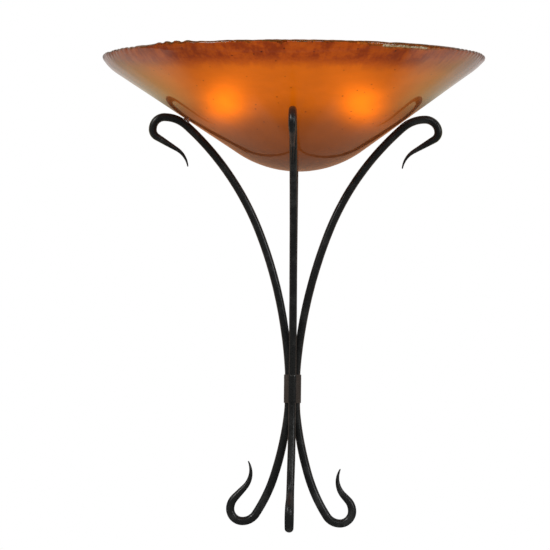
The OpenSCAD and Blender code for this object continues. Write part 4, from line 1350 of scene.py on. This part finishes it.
# Where the card's painted light and shade change, from one distance aside or height to another in
# metres
BESIDE_BOWL, ABOVE_SLOPE = (0.141, 0.191), (-0.01, 0.16)
PALE_ABOVE, PALE_BEYOND = (-0.06, 0.06), (0.20, 0.31, 0.0, 0.8)
LIT_ABOVE, ROUND_ARMS, ABOVE_FEET = (-0.16, -0.015), (0.135, 0.175, 1.0, 0.0), (-0.50, -0.38)
CARD_SIDES, CARD_TOP = (0.8, 0.9, 1.0, 0.0), (0.4, 0.5, 1.0, 0.0)
FLOOR_RINGS, FLOOR_SIDES, FLOOR_MIDDLE = (0.35, 0.7, 1.05, 1.4), 96, -0.1
FLOOR_FADE, FLOOR_CENTRE_BELOW = (0.6, 1.35, 1.0, 0.0), 0.8
LIGHT_TARGET = (0.0, -0.1, -0.2)
# Name, place, width and height in metres, watts and tint
LIGHTS = [
    ("upper left light", (-1.9, -1.7, 1.5), (0.9, 0.9), 22, (1.0, 0.99, 0.97)),
    ("right light", (2.2, -1.6, 0.7), (0.7, 1.3), 14, (0.97, 0.99, 1.0)),
    ("front light", (0.5, -3.6, 1.7), (1.4, 0.8), 10, (1.0, 1.0, 1.0)),
    ("back light", (0.9, 2.6, 1.3), (1.4, 1.0), 14, (1.0, 1.0, 1.0)),
]


def stage_piece(name, built, material):
    mesh = mesh_of(name, built)
    mesh.materials.append(material)
    made = show(bpy.data.objects.new(name, mesh))
    return made


def soft_light(name, place, size, energy, tint):
    data = bpy.data.lights.new(name, "AREA")
    data.shape = "RECTANGLE"
    data.size, data.size_y = size
    data.energy = energy
    data.color = tint
    made = show(bpy.data.objects.new(name, data))
    made.location = place
    made.rotation_mode = "QUATERNION"
    made.rotation_quaternion = (Vector(LIGHT_TARGET) - Vector(place)).to_track_quat("-Z", "Y")


def photo_camera():
    """Long lens at the height of the collar, as in the photograph."""
    level = Vector((math.cos(CAMERA_YAW), -math.sin(CAMERA_YAW), 0.0))
    ahead = Vector((math.sin(CAMERA_YAW) * math.cos(CAMERA_PITCH),
                    math.cos(CAMERA_YAW) * math.cos(CAMERA_PITCH), math.sin(CAMERA_PITCH)))
    rise = level.cross(ahead)
    right = level * math.cos(CAMERA_ROLL) + rise * math.sin(CAMERA_ROLL)
    up = rise * math.cos(CAMERA_ROLL) - level * math.sin(CAMERA_ROLL)
    data = bpy.data.cameras.new("photo camera")
    data.sensor_width = SENSOR_WIDTH
    data.lens = LENS
    data.clip_start, data.clip_end = 0.1, 100.0
    made = show(bpy.data.objects.new("photo camera", data))
    turn = Matrix((right, up, -ahead)).transposed().to_4x4()
    made.matrix_world = Matrix.Translation(CAMERA_PLACE) @ turn
    bpy.context.scene.camera = made


def surroundings(stage):
    """White to the camera and through glass, a dim room to gloss and shade."""
    world = bpy.data.worlds.new("studio")
    tree = empty_tree(world)
    path = node(tree, "ShaderNodeLightPath").outputs
    seen = calc("MAXIMUM", Value(tree, path["Is Camera Ray"]),
                Value(tree, path["Is Transmission Ray"]))
    way = split(result(tree, "ShaderNodeTexCoord", "Generated"))
    gloss = blend_colours(spread(way[1], -0.1, 0.4), stage.room, stage.behind)
    around = blend_colours(Value(tree, path["Is Diffuse Ray"]), gloss, stage.ambient)
    sky = result(tree, "ShaderNodeBackground", 0,
                 {"Color": blend_colours(seen, around, (1.0, 1.0, 1.0))})
    node(tree, "ShaderNodeOutputWorld", {"Surface": sky})
    bpy.context.scene.world = world


def painted_card_light(tree, stage):
    """The card's painted light and shade: pale beside the bowl like a lit wall, warm below that,
    and a painted amber glow in the bowl's shade under it, with dark room colour further off.
    """
    x, _, z = split(object_place(tree))
    aside = abs(x)
    beside = spread(aside, *BESIDE_BOWL) * spread(z + aside, *ABOVE_SLOPE)
    reach = spread(aside, *CARD_SIDES) * spread(z, *CARD_TOP)
    far = calc("MAXIMUM", spread(z, *PALE_ABOVE), spread(aside, *PALE_BEYOND))
    pale = blend_colours(far, stage.warm_card, stage.pale_card)
    under = blend_colours(spread(z, *LIT_ABOVE), stage.low_card, stage.lit_card)
    near = spread(aside, *ROUND_ARMS) * spread(z, *ABOVE_FEET)
    under = blend_colours(near, stage.room, under)
    return blend_colours(reach, stage.room, blend_colours(beside, under, pale))


def reflector_card(stage):
    """A card close behind the sconce, where its wall would be, that only gloss reflects: its
    emission is a painted reflection of the light and shade such a wall would have.
    It is open behind the canopy."""
    built = bmesh.new()
    (left, low), (right, high) = CARD_LOW, CARD_HIGH
    built.faces.new(ring_of(built, [(x, CARD_DEPTH, z) for x, z in (
        (left, low), (right, low), (right, high), (left, high))]))
    material = bpy.data.materials.new("reflector card")
    tree = empty_tree(material)
    from_canopy = vector("LENGTH", object_place(tree))
    opened = result(tree, "ShaderNodeMixShader", 0, {
        0: calc("GREATER_THAN", from_canopy, cad_box[1].z * 1.1),
        1: result(tree, "ShaderNodeBsdfTransparent", 0),
        2: result(tree, "ShaderNodeEmission", 0, {"Color": painted_card_light(tree, stage)})})
    node(tree, "ShaderNodeOutputMaterial", {"Surface": opened})
    made = stage_piece("reflector card", built, material)
    for kind in ("camera", "diffuse", "transmission", "volume_scatter", "shadow"):
        setattr(made, f"visible_{kind}", False)


def pale_floor(stage):
    """A round floor that fades out at its edge."""
    built = bmesh.new()
    middle = Vector((0.0, FLOOR_MIDDLE, -stage.floor_drop))
    turns = [2 * math.pi * i / FLOOR_SIDES for i in range(FLOOR_SIDES)]
    rings = [ring_of(built, [middle + radius * Vector((math.cos(a), math.sin(a), 0.0))
                             for a in turns]) for radius in FLOOR_RINGS]
    bridge(built, rings)
    close_end(built, rings[0], middle)
    material, tree, shader = new_material(
        "pale floor", {"Roughness": 0.75, "Emission Color": stage.floor, "Emission Strength": 0.3})
    place = object_place(tree)
    reach = vector("LENGTH", vector("ADD", place, (0.0, -FLOOR_MIDDLE, FLOOR_CENTRE_BELOW)))
    feed(shader.inputs["Alpha"], spread(reach, *FLOOR_FADE))
    feed(shader.inputs["Base Color"], blend_colours(
        grain(place, 3.0), stage.floor, [v * 1.04 for v in stage.floor]))
    stage_piece("pale floor", built, material).visible_glossy = False


class SCONCE_OT_set_stage(bpy.types.Operator):
    """Set the camera, the pale floor, the soft lights and the surroundings"""

    bl_idname = "sconce.set_stage"
    bl_label = "Set Stage"

    def execute(self, context):
        stage = context.scene.sconce_stage
        photo_camera()
        surroundings(stage)
        reflector_card(stage)
        pale_floor(stage)
        for light in LIGHTS:
            soft_light(*light)
        context.scene.view_settings.view_transform = "Standard"
        return {"FINISHED"}


OPERATORS = [
    SCONCE_OT_set_stage, SCONCE_OT_forge_arms, SCONCE_OT_wrap_collar, SCONCE_OT_finish_spine,
    SCONCE_OT_blow_bowl, SCONCE_OT_seat_pads, SCONCE_OT_dress_canopy, SCONCE_OT_fit_bracket,
    SCONCE_OT_fit_holders, SCONCE_OT_screw_in_bulbs, SCONCE_OT_pull_leads,
]
SETTINGS = {
    "sconce_iron": SconceIron, "sconce_glass": SconceGlass, "sconce_lamps": SconceLamps,
    "sconce_finishes": SconceFinishes, "sconce_stage": SconceStage,
}


class SCONCE_PT_panel(bpy.types.Panel):
    """Sizes, colours and steps of the sconce"""

    bl_label = "Wall Sconce"
    bl_idname = "SCONCE_PT_panel"
    bl_space_type = "VIEW_3D"
    bl_region_type = "UI"
    bl_category = "Sconce"

    def draw(self, context):
        for step in OPERATORS:
            self.layout.operator(step.bl_idname)
        for attribute, group in SETTINGS.items():
            box = self.layout.box()
            for prop in group.__annotations__:
                box.prop(getattr(context.scene, attribute), prop)


def register():
    for made in (*SETTINGS.values(), *OPERATORS, SCONCE_PT_panel):
        bpy.utils.register_class(made)
    for attribute, group in SETTINGS.items():
        setattr(bpy.types.Scene, attribute, PointerProperty(type=group))


def unregister():
    for attribute in SETTINGS:
        delattr(bpy.types.Scene, attribute)
    for made in (SCONCE_PT_panel, *reversed(OPERATORS), *reversed(SETTINGS.values())):
        bpy.utils.unregister_class(made)


def main():
    register()
    for step in OPERATORS:
        group, name = step.bl_idname.split(".")
        getattr(getattr(bpy.ops, group), name)()


if __name__ == "__main__":
    main()
